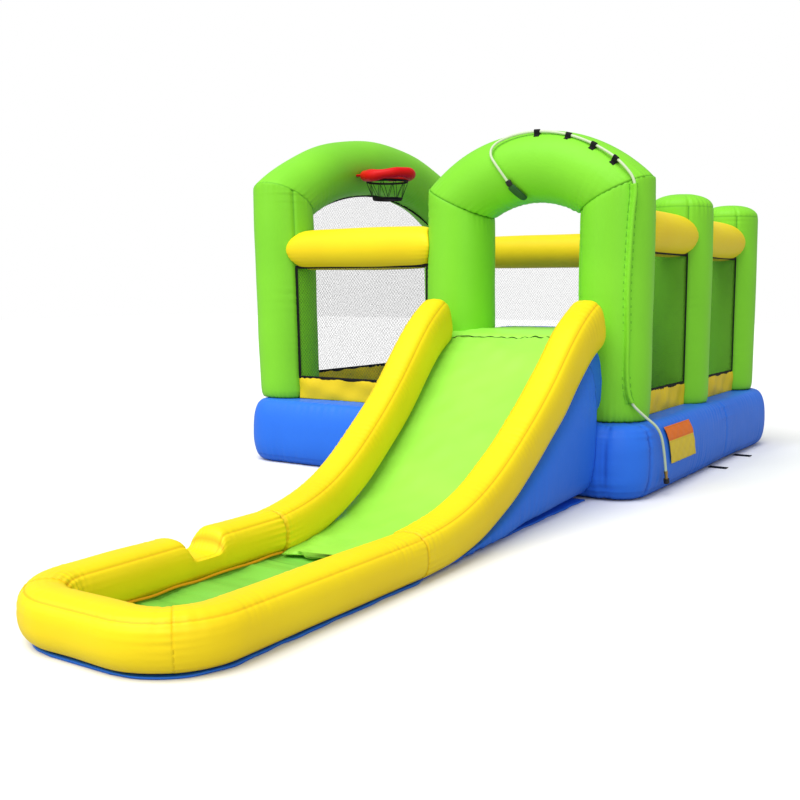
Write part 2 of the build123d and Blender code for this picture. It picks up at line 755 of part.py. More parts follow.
zip_length = 420.0
zip_height = 34.0
zip_thickness = 2.5
zip_z = 215.0
zip_x0 = right_wall_x - 620
zip_face = base_back + press_gap
keep("zipper_tape", block(
    zip_x0, zip_x0 + zip_length, zip_face, zip_face + zip_thickness,
    zip_z - zip_height / 2, zip_z + zip_height / 2,
))
slider_length = 16.0
slider_end = 12.0                 # tape left beyond the slider at each end
slider_face = zip_face + zip_thickness + press_gap
slider = block(
    zip_x0 + slider_end, zip_x0 + slider_end + slider_length,
    slider_face, slider_face + 6, zip_z - 6, zip_z + 6,
)
pull = block(
    zip_x0 + slider_end + 4, zip_x0 + slider_end + 12,
    slider_face + 1, slider_face + 4, zip_z - 34, zip_z - 6,
)
keep("zipper_slider", slider + pull)
zip_travel = zip_length - 2 * slider_end - slider_length

# ---------------------------------------------------------------- blower
fan = Vector(blower_x, blower_y, 190)
shell = 4.0
nozzle_radius = inlet_tube_radius - 6
nozzle_end_y = base_back + 150
across = Rot(0, 90, 0)            # turns a cylinder's axis to X
along_y = Rot(90, 0, 0)
case_half = blower_width / 2


def at_fan(dx=0.0, dy=0.0, dz=0.0):
    return Pos(fan.X + dx, fan.Y + dy, fan.Z + dz)


nozzle_length = fan.Y - nozzle_end_y
nozzle_place = at_fan(dy=-nozzle_length / 2) * along_y
case = at_fan() * across * Cylinder(blower_radius, blower_width)
case = case + nozzle_place * Cylinder(nozzle_radius, nozzle_length)
cavity = at_fan() * across * Cylinder(blower_radius - shell, blower_width - 2 * shell)
cavity = cavity + Pos(fan.X, nozzle_end_y + nozzle_length / 2 - 5, fan.Z) * along_y * Cylinder(
    nozzle_radius - shell, nozzle_length + 10
)
air_eye_radius = 84.0
motor_radius = 46.0
motor_length = 92.0
air_eye = at_fan(dx=case_half) * across * Cylinder(air_eye_radius, 4 * shell)
handle_ring = at_fan(dz=blower_radius + 6) * Rot(90, 0, 0) * Torus(52, 9)
handle_ring = handle_ring - at_fan() * across * Cylinder(blower_radius - 1, blower_width)
case = (case + handle_ring) - cavity - air_eye
motor_seat = at_fan(dx=-case_half) * across * Cylinder(motor_radius + press_gap, 4 * shell)
case = case - motor_seat
switch_y, switch_z = fan.Y + 92, fan.Z + 40
switch_size = (10.0, 22.0, 34.0)
switch_hole = Pos(fan.X - case_half, switch_y, switch_z) * Box(6 * shell, 24, 36)
case = case - switch_hole
middle_left = Plane(origin=(fan.X - 0.2, 0, 0), z_dir=(1, 0, 0))
middle_right = Plane(origin=(fan.X + 0.2, 0, 0), z_dir=(1, 0, 0))
case_left = split(case, bisect_by=middle_left, keep=Keep.BOTTOM)
case_right = split(case, bisect_by=middle_right, keep=Keep.TOP)
keep("blower_case_left", one_solid(case_left))
keep("blower_case_right", one_solid(case_right))

# a round guard of rings and bars over the eye
guard_x = case_half + press_gap
grille = Cylinder(air_eye_radius + 10, 4) - Cylinder(air_eye_radius - 3, 6)
for ring_radius in (30, 54, 78):
    grille += Cylinder(ring_radius + 3, 4) - Cylinder(ring_radius - 3, 6)
for turn in (0, 60, 120):
    grille = grille + Rot(0, 0, turn) * Box(2 * air_eye_radius + 8, 6, 4)
keep("inlet_grille", one_solid(at_fan(dx=guard_x + 2) * across * grille))

shaft_radius = 6.0
shaft_clearance = 0.05
motor_x0 = -case_half - 40
motor = Cylinder(motor_radius, motor_length) - Cylinder(shaft_radius + shaft_clearance, 200)
keep("motor", at_fan(dx=motor_x0 + motor_length / 2) * across * motor)
shaft_start = motor_x0 + 15
shaft_end = motor_x0 + motor_length + 30
shaft = Cylinder(shaft_radius, shaft_end - shaft_start)
keep("motor_shaft", at_fan(dx=(shaft_start + shaft_end) / 2) * across * shaft)

wheel_radius = 122.0
blade_root = 98.0
blade_count = 30
plate_x = motor_x0 + motor_length + 6
hub_length = 20.0
wheel = Cylinder(wheel_radius, 4) + Pos(0, 0, hub_length / 2) * Cylinder(18, hub_length)
blade_length = 90.0
blade_middle = (blade_root + wheel_radius) / 2
for number in range(blade_count):
    turn = Rot(0, 0, 360 * number / blade_count)
    blade = Pos(blade_middle, 0, blade_length / 2) * Rot(0, 0, 28)
    blade = blade * Box(wheel_radius - blade_root - 4, 2.4, blade_length)
    wheel = wheel + turn * blade
hoop_band = Cylinder(wheel_radius, 5) - Cylinder(blade_root, 7)
wheel = wheel + Pos(0, 0, blade_length) * hoop_band
wheel = wheel - Cylinder(shaft_radius, 400)
keep("impeller", one_solid(at_fan(dx=plate_x) * across * wheel))

stand_width = 250.0
stand_depth = 190.0
stand = block(
    fan.X - stand_depth / 2, fan.X + stand_depth / 2,
    fan.Y - stand_width / 2, fan.Y + stand_width / 2, 0, 110,
)
stand_space = at_fan() * across * Cylinder(blower_radius + press_gap, 2 * blower_width)
tube_space = Pos(fan.X, fan.Y - nozzle_length / 2, fan.Z) * along_y * Cylinder(
    inlet_tube_radius + 6, nozzle_length
)
stand = stand - stand_space - tube_space
stand = stand - block(
    fan.X - stand_depth, fan.X + stand_depth, fan.Y - 70, fan.Y + 70, -1, 28
)
keep("blower_stand", one_solid(stand))

rocker = Box(switch_size[0], switch_size[1], switch_size[2])
rocker = fillet(rocker.edges().filter_by(Axis.Y), 3)
keep("switch_rocker", Pos(fan.X - case_half + 1, switch_y, switch_z) * rocker)

# ---------------------------------------------------------------- inlet sleeve and strap
sleeve_wall = 3.0
sleeve_start = base_back + press_gap
sleeve_end = nozzle_end_y + 95
sleeve_place = Pos(fan.X, (sleeve_start + sleeve_end) / 2, fan.Z) * along_y
sleeve_length = sleeve_end - sleeve_start
inlet_sleeve = Cylinder(nozzle_radius + press_gap + sleeve_wall, sleeve_length)
inlet_sleeve = inlet_sleeve - Cylinder(nozzle_radius + press_gap, sleeve_length + 2)
keep("inlet_sleeve", sleeve_place * inlet_sleeve)
strap_width = 28.0
strap_inner = nozzle_radius + 2 * press_gap + sleeve_wall
strap = Cylinder(strap_inner + 2.5, strap_width) - Cylinder(strap_inner, strap_width + 2)
strap = strap + Pos(0, strap_inner + 5, 0) * Box(36, 10, strap_width + 6)
strap = strap - Cylinder(strap_inner, strap_width + 10)
keep("sleeve_strap", Pos(fan.X, nozzle_end_y + 50, fan.Z) * along_y * strap)

# ---------------------------------------------------------------- origin and export
def bounds(shapes):
    """The lowest and highest corner of a list of shapes."""
    boxes = [shape.bounding_box() for shape in shapes]
    low = [min(getattr(box.min, axis) for box in boxes) for axis in "XYZ"]
    high = [max(getattr(box.max, axis) for box in boxes) for axis in "XYZ"]
    return low, high


low, high = bounds(list(pieces.values()))
shift = Vector(-(low[0] + high[0]) / 2, -(low[1] + high[1]) / 2, -low[2])
print("shift", [round(value, 3) for value in shift], "size",
      [round(high[n] - low[n], 1) for n in range(3)])
os.makedirs("parts", exist_ok=True)
for name, shape in pieces.items():
    export_step(Pos(shift.X, shift.Y, shift.Z) * shape, f"parts/{name}.step")
print(len(pieces), "nodes")
print("impeller axis", fan + shift)
print("rocker axis", Vector(fan.X - case_half + 1, switch_y, switch_z) + shift)
print("collar axis", collar_middle + shift, "direction", down)
print("zip travel", zip_travel)
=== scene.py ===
# %% [markdown]
# # An inflatable bounce house
# Almost everything here is coated cloth blown tight by air. Each chamber is worked out as a
# surface of two parameters: one runs along the tube or round the plan, the other round its
# section. Folds are then pushed in along the surface's own normals, close to the seams.

# %% Load the fixed frame
import math

import bmesh
import bpy
import numpy as np
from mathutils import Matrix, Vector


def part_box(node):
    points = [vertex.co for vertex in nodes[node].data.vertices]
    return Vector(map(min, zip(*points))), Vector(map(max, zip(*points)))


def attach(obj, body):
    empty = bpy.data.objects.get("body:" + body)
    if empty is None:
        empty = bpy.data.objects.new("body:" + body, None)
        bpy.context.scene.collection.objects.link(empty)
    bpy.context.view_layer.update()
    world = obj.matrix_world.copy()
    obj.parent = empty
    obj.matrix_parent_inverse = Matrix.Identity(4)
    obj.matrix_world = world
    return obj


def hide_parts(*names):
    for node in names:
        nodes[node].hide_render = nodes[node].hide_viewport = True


PI = math.pi
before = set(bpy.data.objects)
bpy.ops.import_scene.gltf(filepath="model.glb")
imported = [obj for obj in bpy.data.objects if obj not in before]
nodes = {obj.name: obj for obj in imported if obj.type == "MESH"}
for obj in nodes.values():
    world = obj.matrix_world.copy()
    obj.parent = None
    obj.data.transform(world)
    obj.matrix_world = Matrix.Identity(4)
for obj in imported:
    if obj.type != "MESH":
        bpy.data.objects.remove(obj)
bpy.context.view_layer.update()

# %% [markdown]
# ## Camera and light
# Soft light from above and a little to the front makes the tubes read as round. The sun lamp
# is wide, so its shadows are soft, and it lights the floor evenly as far as it is seen.
# A low camera with a moderate lens keeps the long slide in proportion.

# %% Camera
camera = bpy.data.objects.new("camera", bpy.data.cameras.new("camera"))
bpy.context.scene.collection.objects.link(camera)
camera.location = (3.462, -5.487, 1.2)
camera.rotation_euler = (math.radians(83.82), 0, math.radians(33.18))
camera.data.lens = 46.5
camera.data.clip_end = 100
bpy.context.scene.camera = camera
print("camera at", tuple(camera.location))

# %% Light, floor and backdrop
scene = bpy.context.scene
scene.view_settings.view_transform = "Standard"
world = bpy.data.worlds.new("studio")
scene.world = world
world.use_nodes = True
backdrop = world.node_tree
surround = backdrop.nodes["Background"]
surround.inputs["Color"].default_value = (1, 1, 1, 1)
surround.inputs["Strength"].default_value = 0.44
seen = backdrop.nodes.new("ShaderNodeBackground")
seen.inputs["Color"].default_value = (1, 1, 1, 1)


def show_apart(tree, lighting, seen, output):
    """Gives the camera one shader to see, and every other ray another one."""
    rays = tree.nodes.new("ShaderNodeLightPath")
    choice = tree.nodes.new("ShaderNodeMixShader")
    tree.links.new(rays.outputs["Is Camera Ray"], choice.inputs[0])
    tree.links.new(lighting.outputs[0], choice.inputs[1])
    tree.links.new(seen.outputs[0], choice.inputs[2])
    tree.links.new(choice.outputs[0], tree.nodes[output].inputs["Surface"])


show_apart(backdrop, surround, seen, "World Output")


def turned_to(place, target):
    """The rotation of a lamp at a place that shines on a target."""
    aim = np.array(target, float) - np.array(place, float)
    flat = math.hypot(aim[0], aim[1])
    return math.atan2(flat, -aim[2]), 0, math.atan2(aim[1], aim[0]) - PI / 2


def lamp(name, kind, place, target, energy, width):
    """A sun that spreads over a width in degrees, or a square box of a width in metres."""
    data = bpy.data.lights.new(name, kind)
    data.energy = energy
    if kind == "SUN":
        data.angle = math.radians(width)
    else:
        data.shape, data.size = "SQUARE", width
    made = bpy.data.objects.new(name, data)
    scene.collection.objects.link(made)
    made.location = place
    made.rotation_euler = turned_to(place, target)


lamp("wide_sun", "SUN", (-0.6, -4.4, 8.0), (0, 0, 0), 2.75, 52)
lamp("front_box", "AREA", (-5.0, -7.5, 4.5), (0, 0, 0.8), 110, 4.0)
lamp("side_box", "AREA", (5.5, -6.0, 3.5), (-1.5, -0.2, 1.6), 90, 3.0)
print("lights", [light.name for light in bpy.data.lights])


# %% [markdown]
# ## Building surfaces
# A grid of points becomes a mesh. A tube's grid closes round its section, and its two ends
# close on a middle point. Offsets along the normals make folds, and a vertex attribute
# called "seam" tells the cloth material where the thread runs.

# %% Grids to meshes
def circle(count):
    """Angles once round a section, as a row."""
    return np.linspace(0, 2 * PI, count, endpoint=False)[None, :]


def unit(vectors):
    """The same directions with a length of one."""
    return vectors / np.linalg.norm(vectors, axis=-1, keepdims=True)


def lengths_along(line):
    """The distance from a line's first point to each of its points."""
    return np.concatenate([[0], np.cumsum(np.linalg.norm(np.diff(line, axis=0), axis=1))])


def outward(points, closed=True):
    """Unit normals of a grid: the cross product of its two tangents, away from the middle."""
    along = np.gradient(points, axis=0)
    if closed:
        around = np.roll(points, -1, axis=1) - np.roll(points, 1, axis=1)
    else:
        around = np.gradient(points, axis=1)
    normal = np.cross(along, around)
    normal /= np.maximum(np.linalg.norm(normal, axis=2, keepdims=True), 1e-9)
    middle = points.mean(axis=1, keepdims=True) if closed else points.mean(axis=(0, 1))
    return normal * np.sign(np.sum(normal * (points - middle)) + 1e-9)


def pushed(points, offset, closed=True):
    """The grid moved along its normals by an offset for each point."""
    return points + outward(points, closed) * offset[..., None]


def grid_faces(rows, columns, closed, first=0):
    """Quads of a grid, with the last column joined to the first one if it is closed."""
    index = first + np.arange(rows * columns).reshape(rows, columns)
    right = np.roll(index, -1, axis=1) if closed else index[:, 1:]
    left = index if closed else index[:, :-1]
    quads = np.stack([left[:-1], right[:-1], right[1:], left[1:]], axis=-1)
    return quads.reshape(-1, 4)


def end_fan(ring, middle):
    """Triangles from a ring of points to one middle point."""
    after = np.roll(ring, -1)
    return np.stack([ring, after, np.full_like(ring, middle)], axis=-1)


LEAN_FROM_Z, LEAN_RISE, LEAN_FROM_X, LEAN_OUT = 0.43, 1.5, -0.2, 0.055


def lean(points):
    """The left wall leans out as it rises: x falls by up to 6.6 cm at its top."""
    moved = points.copy()
    share = np.clip((points[..., 2] - LEAN_FROM_Z) / LEAN_RISE, 0, 1.2)
    reach = np.clip(LEAN_FROM_X - points[..., 0], 0, 1)
    moved[..., 0] -= LEAN_OUT * share * reach
    return moved


def piece(name, grids, material, stands_for=()):
    """One object from closed tubes and sheets; each grid is a dict of its points.
    """
    places, quads, fans, seams = [], [], [], []
    count = 0
    for grid in grids:
        points = lean(grid["points"])
        rows, columns = points.shape[:2]
        closed = grid.get("closed", True)
        places.append(points.reshape(-1, 3))
        quads.append(grid_faces(rows, columns, closed, count))
        seams.append(np.broadcast_to(grid.get("seam", 0.0), (rows, columns)).ravel())
        first = count
        count += rows * columns
        if closed and not grid.get("open_ends"):
            for ring, middle in ((0, points[0].mean(0)), (rows - 1, points[-1].mean(0))):
                places.append(middle[None])
                seams.append(np.zeros(1))
                fans.append(end_fan(first + ring * columns + np.arange(columns), count))
                count += 1
    vertices = np.concatenate(places)
    faces = np.concatenate(quads).tolist() + (np.concatenate(fans).tolist() if fans else [])
    mesh = bpy.data.meshes.new(name)
    mesh.from_pydata(vertices, [], faces)
    mesh.polygons.foreach_set("use_smooth", [True] * len(faces))
    mark = mesh.attributes.new("seam", "FLOAT", "POINT")
    mark.data.foreach_set("value", np.concatenate(seams).astype(np.float32))
    work = bmesh.new()
    work.from_mesh(mesh)
    bmesh.ops.recalc_face_normals(work, faces=work.faces)
    work.to_mesh(mesh)
    work.free()
    made = bpy.data.objects.new(name, mesh)
    scene.collection.objects.link(made)
    mesh.materials.append(material)
    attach(made, "root")
    if stands_for:
        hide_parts(*stands_for)
    print(name, len(vertices), "points")
    return made


# %% Folds
def gathers(away, along, reach, pitch, depth, seed):
    """Folds that leave a seam at right angles: uneven sines along it that fade with distance."""
    phase = np.random.default_rng(seed).uniform(0, 2 * PI, 6)
    bend = 0.9 * np.sin(along / (3.1 * pitch) + phase[0])
    bend = bend + 1.3 * np.sin(along / (7.3 * pitch) + phase[1])
    fine = np.sin(2 * PI * along / pitch + bend + phase[2])
    coarse = np.sin(2 * PI * along / (2.3 * pitch) - bend + phase[3])
    uneven = 0.6 + 0.4 * np.sin(along / (2.2 * pitch) + phase[4])
    uneven = uneven * (0.75 + 0.25 * np.sin(along / (5.1 * pitch) + phase[5]))
    length = reach * (0.4 + uneven)
    return depth * uneven * (0.6 * fine + 0.4 * coarse) * np.exp(-np.abs(away) / length)


def valley(away, width, depth):
    """The soft groove that a seam pulls into tight cloth."""
    return -depth * np.exp(-(away / width) ** 2)


def thread(away, width=0.006):
    """1 on a seam and 0 a few millimetres from it."""
    return np.exp(-(away / width) ** 2)


def dents(points, size, depth, seed):
    """Broad unevenness: six sine waves that cross the surface in drawn directions."""
    draw = np.random.default_rng(seed)
    total = np.zeros(points.shape[:-1])
    for _ in range(6):
        direction = draw.normal(size=3)
        direction /= np.linalg.norm(direction) * size * draw.uniform(0.7, 1.5)
        total += np.sin(2 * PI * points @ direction + draw.uniform(0, 2 * PI))
    return depth * total / 6


def turn_to(theta, seam_angle, radius):
    """Distance along the skin from a lengthwise seam at an angle."""
    difference = np.angle(np.exp(1j * (theta - seam_angle)))
    return radius * difference


around = np.linspace(0, 2 * PI, 160, endpoint=False)
print("folds ready,", len(around), "points round each tube")


# %% [markdown]
# ## Coated cloth
# The cloth is woven nylon with a smooth coat: bright, a little glossy, with a fine weave
# that only shows close by. Its colour drifts slightly over a panel and is darker on the
# thread of a seam. One node group holds the weave, the drift and the seam for every colour.

# %% The shared cloth group
def linear(red, green, blue):
    """A display colour from 0 to 255 as the linear one that shaders use."""
    values = np.array([red, green, blue]) / 255
    values = np.where(values <= 0.04045, values / 12.92, ((values + 0.055) / 1.055) ** 2.4)
    return (*values.tolist(), 1.0)


def new_group(name, inputs, outputs):
    """An empty shader group with named sockets."""
    tree = bpy.data.node_groups.new(name, "ShaderNodeTree")
    for label, kind, value in inputs:
        socket = tree.interface.new_socket(label, in_out="INPUT", socket_type=kind)
        socket.default_value = value
    for label, kind in outputs:
        tree.interface.new_socket(label, in_out="OUTPUT", socket_type=kind)
    return tree, tree.nodes.new("NodeGroupInput"), tree.nodes.new("NodeGroupOutput")


def node(tree, kind, **values):
    """A node with its properties or input sockets set by name."""
    made = tree.nodes.new(kind)
    for key, value in values.items():
        if key in made.inputs:
            made.inputs[key].default_value = value
        else:
            setattr(made, key, value)
    return made


COLOUR, FLOAT, VECTOR = "NodeSocketColor", "NodeSocketFloat", "NodeSocketVector"
cloth_tree, cloth_in, cloth_out = new_group(
    "coated_cloth",
    [("Colour", COLOUR, (1, 1, 1, 1)), ("Shade", COLOUR, (0, 0, 0, 1)),
     ("Weave", FLOAT, 900.0), ("Depth", FLOAT, 0.02), ("Roughness", FLOAT, 0.4)],
    [("Colour", COLOUR), ("Roughness", FLOAT), ("Normal", VECTOR)],
)
link = cloth_tree.links.new
place = node(cloth_tree, "ShaderNodeTexCoord")
drift = node(cloth_tree, "ShaderNodeTexNoise", Scale=1.7, Detail=3.0)
link(place.outputs["Object"], drift.inputs["Vector"])
drift_range = node(cloth_tree, "ShaderNodeMapRange")
for label, value in (("From Min", 0.3), ("From Max", 0.7), ("To Min", 0.0), ("To Max", 0.16)):
    drift_range.inputs[label].default_value = value
link(drift.outputs["Fac"], drift_range.inputs["Value"])
seam_mark = node(cloth_tree, "ShaderNodeAttribute", attribute_name="seam")
seam_share = node(cloth_tree, "ShaderNodeMath", operation="MULTIPLY")
seam_share.inputs[1].default_value = 0.62
link(seam_mark.outputs["Fac"], seam_share.inputs[0])
both = node(cloth_tree, "ShaderNodeMath", operation="ADD", use_clamp=True)
link(drift_range.outputs["Result"], both.inputs[0])
link(seam_share.outputs[0], both.inputs[1])
tint = node(cloth_tree, "ShaderNodeMix", data_type="RGBA")
link(both.outputs[0], tint.inputs["Factor"])
link(cloth_in.outputs["Colour"], tint.inputs[6])
link(cloth_in.outputs["Shade"], tint.inputs[7])
link(tint.outputs[2], cloth_out.inputs["Colour"])
weave = node(cloth_tree, "ShaderNodeTexVoronoi", distance="CHEBYCHEV")
link(place.outputs["Object"], weave.inputs["Vector"])
link(cloth_in.outputs["Weave"], weave.inputs["Scale"])
crease = node(cloth_tree, "ShaderNodeTexNoise", Scale=14.0, Detail=4.0, Roughness=0.6)
link(place.outputs["Object"], crease.inputs["Vector"])
weave_bump = node(cloth_tree, "ShaderNodeBump", Distance=0.0004)
link(cloth_in.outputs["Depth"], weave_bump.inputs["Strength"])
link(weave.outputs["Distance"], weave_bump.inputs["Height"])
crease_bump = node(cloth_tree, "ShaderNodeBump", Distance=0.006, Strength=0.22)
link(crease.outputs["Fac"], crease_bump.inputs["Height"])
link(weave_bump.outputs["Normal"], crease_bump.inputs["Normal"])
link(crease_bump.outputs["Normal"], cloth_out.inputs["Normal"])
rough_drift = node(cloth_tree, "ShaderNodeMath", operation="MULTIPLY_ADD")
rough_drift.inputs[1].default_value = 0.12
link(crease.outputs["Fac"], rough_drift.inputs[0])
link(cloth_in.outputs["Roughness"], rough_drift.inputs[2])
link(rough_drift.outputs[0], cloth_out.inputs["Roughness"])
print("cloth group with", len(cloth_tree.nodes), "nodes")


# %% Cloth colours
def cloth(name, colour, shade, roughness=0.42, weave_scale=900.0, depth=0.25):
    """A principled material that takes colour, roughness and normal from the cloth group."""
    material = bpy.data.materials.new(name)
    material.use_nodes = True
    tree = material.node_tree
    shader = tree.nodes["Principled BSDF"]
    shader.inputs["Specular IOR Level"].default_value = 0.2
    group = tree.nodes.new("ShaderNodeGroup")
    group.node_tree = cloth_tree
    group.inputs["Colour"].default_value = linear(*colour)
    group.inputs["Shade"].default_value = linear(*shade)
    group.inputs["Weave"].default_value = weave_scale
    group.inputs["Depth"].default_value = depth
    group.inputs["Roughness"].default_value = roughness
    tree.links.new(group.outputs["Colour"], shader.inputs["Base Color"])
    tree.links.new(group.outputs["Roughness"], shader.inputs["Roughness"])
    tree.links.new(group.outputs["Normal"], shader.inputs["Normal"])
    return material


green_cloth = cloth("green_cloth", (136, 223, 52), (68, 148, 32))
bed_cloth = cloth("bed_cloth", (162, 234, 84), (86, 166, 44), roughness=0.36)
floor_cloth = cloth("pool_floor_cloth", (130, 207, 78), (60, 138, 38), roughness=0.34)
yellow_cloth = cloth("yellow_cloth", (250, 224, 24), (212, 142, 10))
blue_cloth = cloth("blue_cloth", (48, 122, 242), (20, 66, 176))
red_cloth = cloth("red_cloth", (224, 8, 12), (150, 4, 6))
black_webbing = cloth("black_webbing", (16, 16, 17), (6, 6, 6), 0.62, 420.0, 0.5)
black_thread = cloth("black_thread", (22, 23, 24), (8, 8, 8), 0.6, 900.0, 0.2)
skirt_cloth = cloth("skirt_cloth", (240, 210, 36), (196, 140, 16))
print("cloths", [material.name for material in bpy.data.materials])


# %% [markdown]
# ## Arches and columns
# An arch leg is an upright tube that a slanting seam joins to the crown. The mitre halves
# the bend, so its height rises evenly across the tube. Where netting is sewn on, the cloth
# gathers into short level folds; at the foot and at the mitre the folds run lengthwise.

# %% Standing tubes
def middle_of(name):
    """The middle and the two corners of a frame node's box."""
    low, high = (np.array(corner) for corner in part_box(name))
    return (low + high) / 2, low, high


def rows_for(length, step=0.011):
    """Places from 0 to 1 along a length, a little closer together at both ends."""
    count = max(24, int(length / step))
    even = np.linspace(0, 1, count)
    return even - 0.12 * np.sin(2 * PI * even) / (2 * PI)


def standing_tube(centre, radius, foot, top, bindings, seed):
    """Radius times (cos, sin) of the angle, from the foot to a top height for each angle."""
    theta = around[None, :]
    share = rows_for(1.3)[:, None]
    top_here = np.broadcast_to(top, around.shape)[None, :]
    z = foot + share * (top_here - foot)
    from_foot, from_top = z - foot, top_here - z
    reach = radius - 0.014 * np.exp(-from_foot / 0.022) - 0.004 * np.exp(-from_top / 0.012)
    reach = reach + 0.004 * np.sin(PI * share)
    x = centre[0] + reach * np.cos(theta)
    y = centre[1] + reach * np.sin(theta)
    points = np.stack([x, y, np.broadcast_to(z, x.shape)], axis=-1)
    skin = radius * theta
    fold = gathers(from_foot, skin, 0.045, 0.034, 0.0045, seed)
    fold = fold + gathers(from_top, skin, 0.045, 0.036, 0.0045, seed + 1)
    seam = 0.6 * thread(from_top, 0.004) + thread(from_foot)
    for number, angle in enumerate(bindings):
        away = turn_to(theta, angle, radius)
        fold = fold + gathers(away, z, 0.075, 0.026, 0.0042, seed + 2 + number)
        fold = fold + valley(away, 0.012, 0.008)
        seam = seam + thread(away, 0.004)
    fold = fold + dents(points, 0.5, 0.004, seed + 9)
    return pushed(points, fold), np.clip(seam, 0, 1)


def capped(points, seam, steps=5):
    """Adds rings that close each end towards its middle, so that the ends are smooth."""
    low, high = points[:1], points[-1:]
    shrink = np.linspace(1, 0.02, steps)[1:, None, None]
    low_middle, high_middle = low.mean(1, keepdims=True), high.mean(1, keepdims=True)
    below = low_middle + (low - low_middle) * shrink[::-1]
    above = high_middle + (high - high_middle) * shrink
    blank = np.zeros((steps - 1, points.shape[1]))
    return np.concatenate([below, points, above]), np.concatenate([blank, seam, blank])


def leg(name, stands_for, inward, bend_half, bindings, seed):
    """A leg whose top is the mitre: height rises by tan(half the bend) away from the arch."""
    centre, low, high = middle_of(stands_for)
    radius = (high[0] - low[0]) / 2
    theta = around
    out = -(np.cos(theta) * inward[0] + np.sin(theta) * inward[1]) * radius
    spring = high[2] - radius * math.tan(bend_half)
    top = spring + out * math.tan(bend_half)
    points, seam = standing_tube(centre, radius, low[2], top, bindings, seed)
    points, seam = capped(points, seam)
    return piece(name, [dict(points=points, seam=seam)], green_cloth, [stands_for])


def arch_angles(half_span, rise):
    """The crown's bend radius and half of the turn between a leg and the crown's end."""
    bend = (half_span ** 2 + rise ** 2) / (2 * rise)
    return bend, (PI / 2 - math.asin(half_span / bend)) / 2


SLIDE_HALF, SLIDE_RISE, SLIDE_SPRING, SLIDE_TUBE = 0.52, 0.19, 1.735, 0.212
LEFT_HALF, LEFT_RISE, LEFT_SPRING, COLUMN_TUBE = 1.14, 0.327, 1.815, 0.208
slide_bend, slide_half_turn = arch_angles(SLIDE_HALF, SLIDE_RISE)
left_bend, left_half_turn = arch_angles(LEFT_HALF, LEFT_RISE)
leg("left_front_leg", "left_arch_front_leg", (0, 1), left_half_turn, (-0.56, 1.5708), 11)
leg("left_rear_leg", "left_arch_rear_leg", (0, -1), left_half_turn, (0.56, -1.5708), 21)
leg("slide_left_leg", "slide_arch_left_leg", (1, 0), slide_half_turn, (-2.58, 1.9), 31)
leg("slide_right_leg", "slide_arch_right_leg", (-1, 0), slide_half_turn, (1.02, -2.5), 41)


# %% Crowns
def crown(name, stands_for, middle, across, half_span, spring, rise, radius, seed):
    """A tube round an arc; each line along it ends where it meets the mitre plane."""
    bend, half_turn = arch_angles(half_span, rise)
    centre_z = spring + rise - bend
    theta = around
    rho = bend + radius * np.cos(theta)
    way = half_span * math.cos(half_turn) + (spring - centre_z) * math.sin(half_turn)
    run = -way + np.sqrt(way ** 2 - bend ** 2 + rho ** 2)
    end_x = half_span + run * math.cos(half_turn)
    end_z = spring - centre_z + run * math.sin(half_turn)
    limit = np.arctan2(end_x, end_z)[None, :]
    share = (2 * rows_for(2 * bend * limit.mean(), 0.012) - 1)[:, None]
    alpha = share * limit
    to_end = bend * (limit - np.abs(alpha))
    reach = radius - 0.004 * np.exp(-to_end / 0.012) + 0 * theta
    level = bend + reach * np.cos(theta)
    side = reach * np.sin(theta)
    along = level * np.sin(alpha)
    z = centre_z + level * np.cos(alpha)
    points = np.stack([
        middle[0] + along * across[0] - side * across[1],
        middle[1] + along * across[1] + side * across[0],
        z,
    ], axis=-1)
    skin = radius * theta[None, :]
    fold = gathers(to_end, skin + np.sign(alpha), 0.07, 0.036, 0.005, seed)
    underside = turn_to(theta[None, :], PI, radius)
    fold = fold + gathers(underside, bend * alpha, 0.11, 0.05, 0.006, seed + 1)
    fold = fold + dents(points, 0.45, 0.004, seed + 2)
    lower_seam = turn_to(theta[None, :], PI - 0.62, radius)
    fold = fold + valley(lower_seam, 0.012, 0.004)
    points = pushed(points, fold)
    seam = np.clip(0.6 * thread(to_end, 0.004) + 0.8 * thread(lower_seam, 0.004), 0, 1)
    points, seam = capped(points, seam)
    return piece(name, [dict(points=points, seam=seam)], green_cloth, [stands_for])


slide_mid = middle_of("slide_arch_crown")[0]
left_mid = middle_of("left_arch_crown")[0]
crown("slide_crown", "slide_arch_crown", slide_mid, (1, 0), SLIDE_HALF, SLIDE_SPRING, SLIDE_RISE,
      SLIDE_TUBE, 51)
crown("left_crown", "left_arch_crown", left_mid, (0, 1), LEFT_HALF, LEFT_SPRING, LEFT_RISE,
      COLUMN_TUBE, 61)


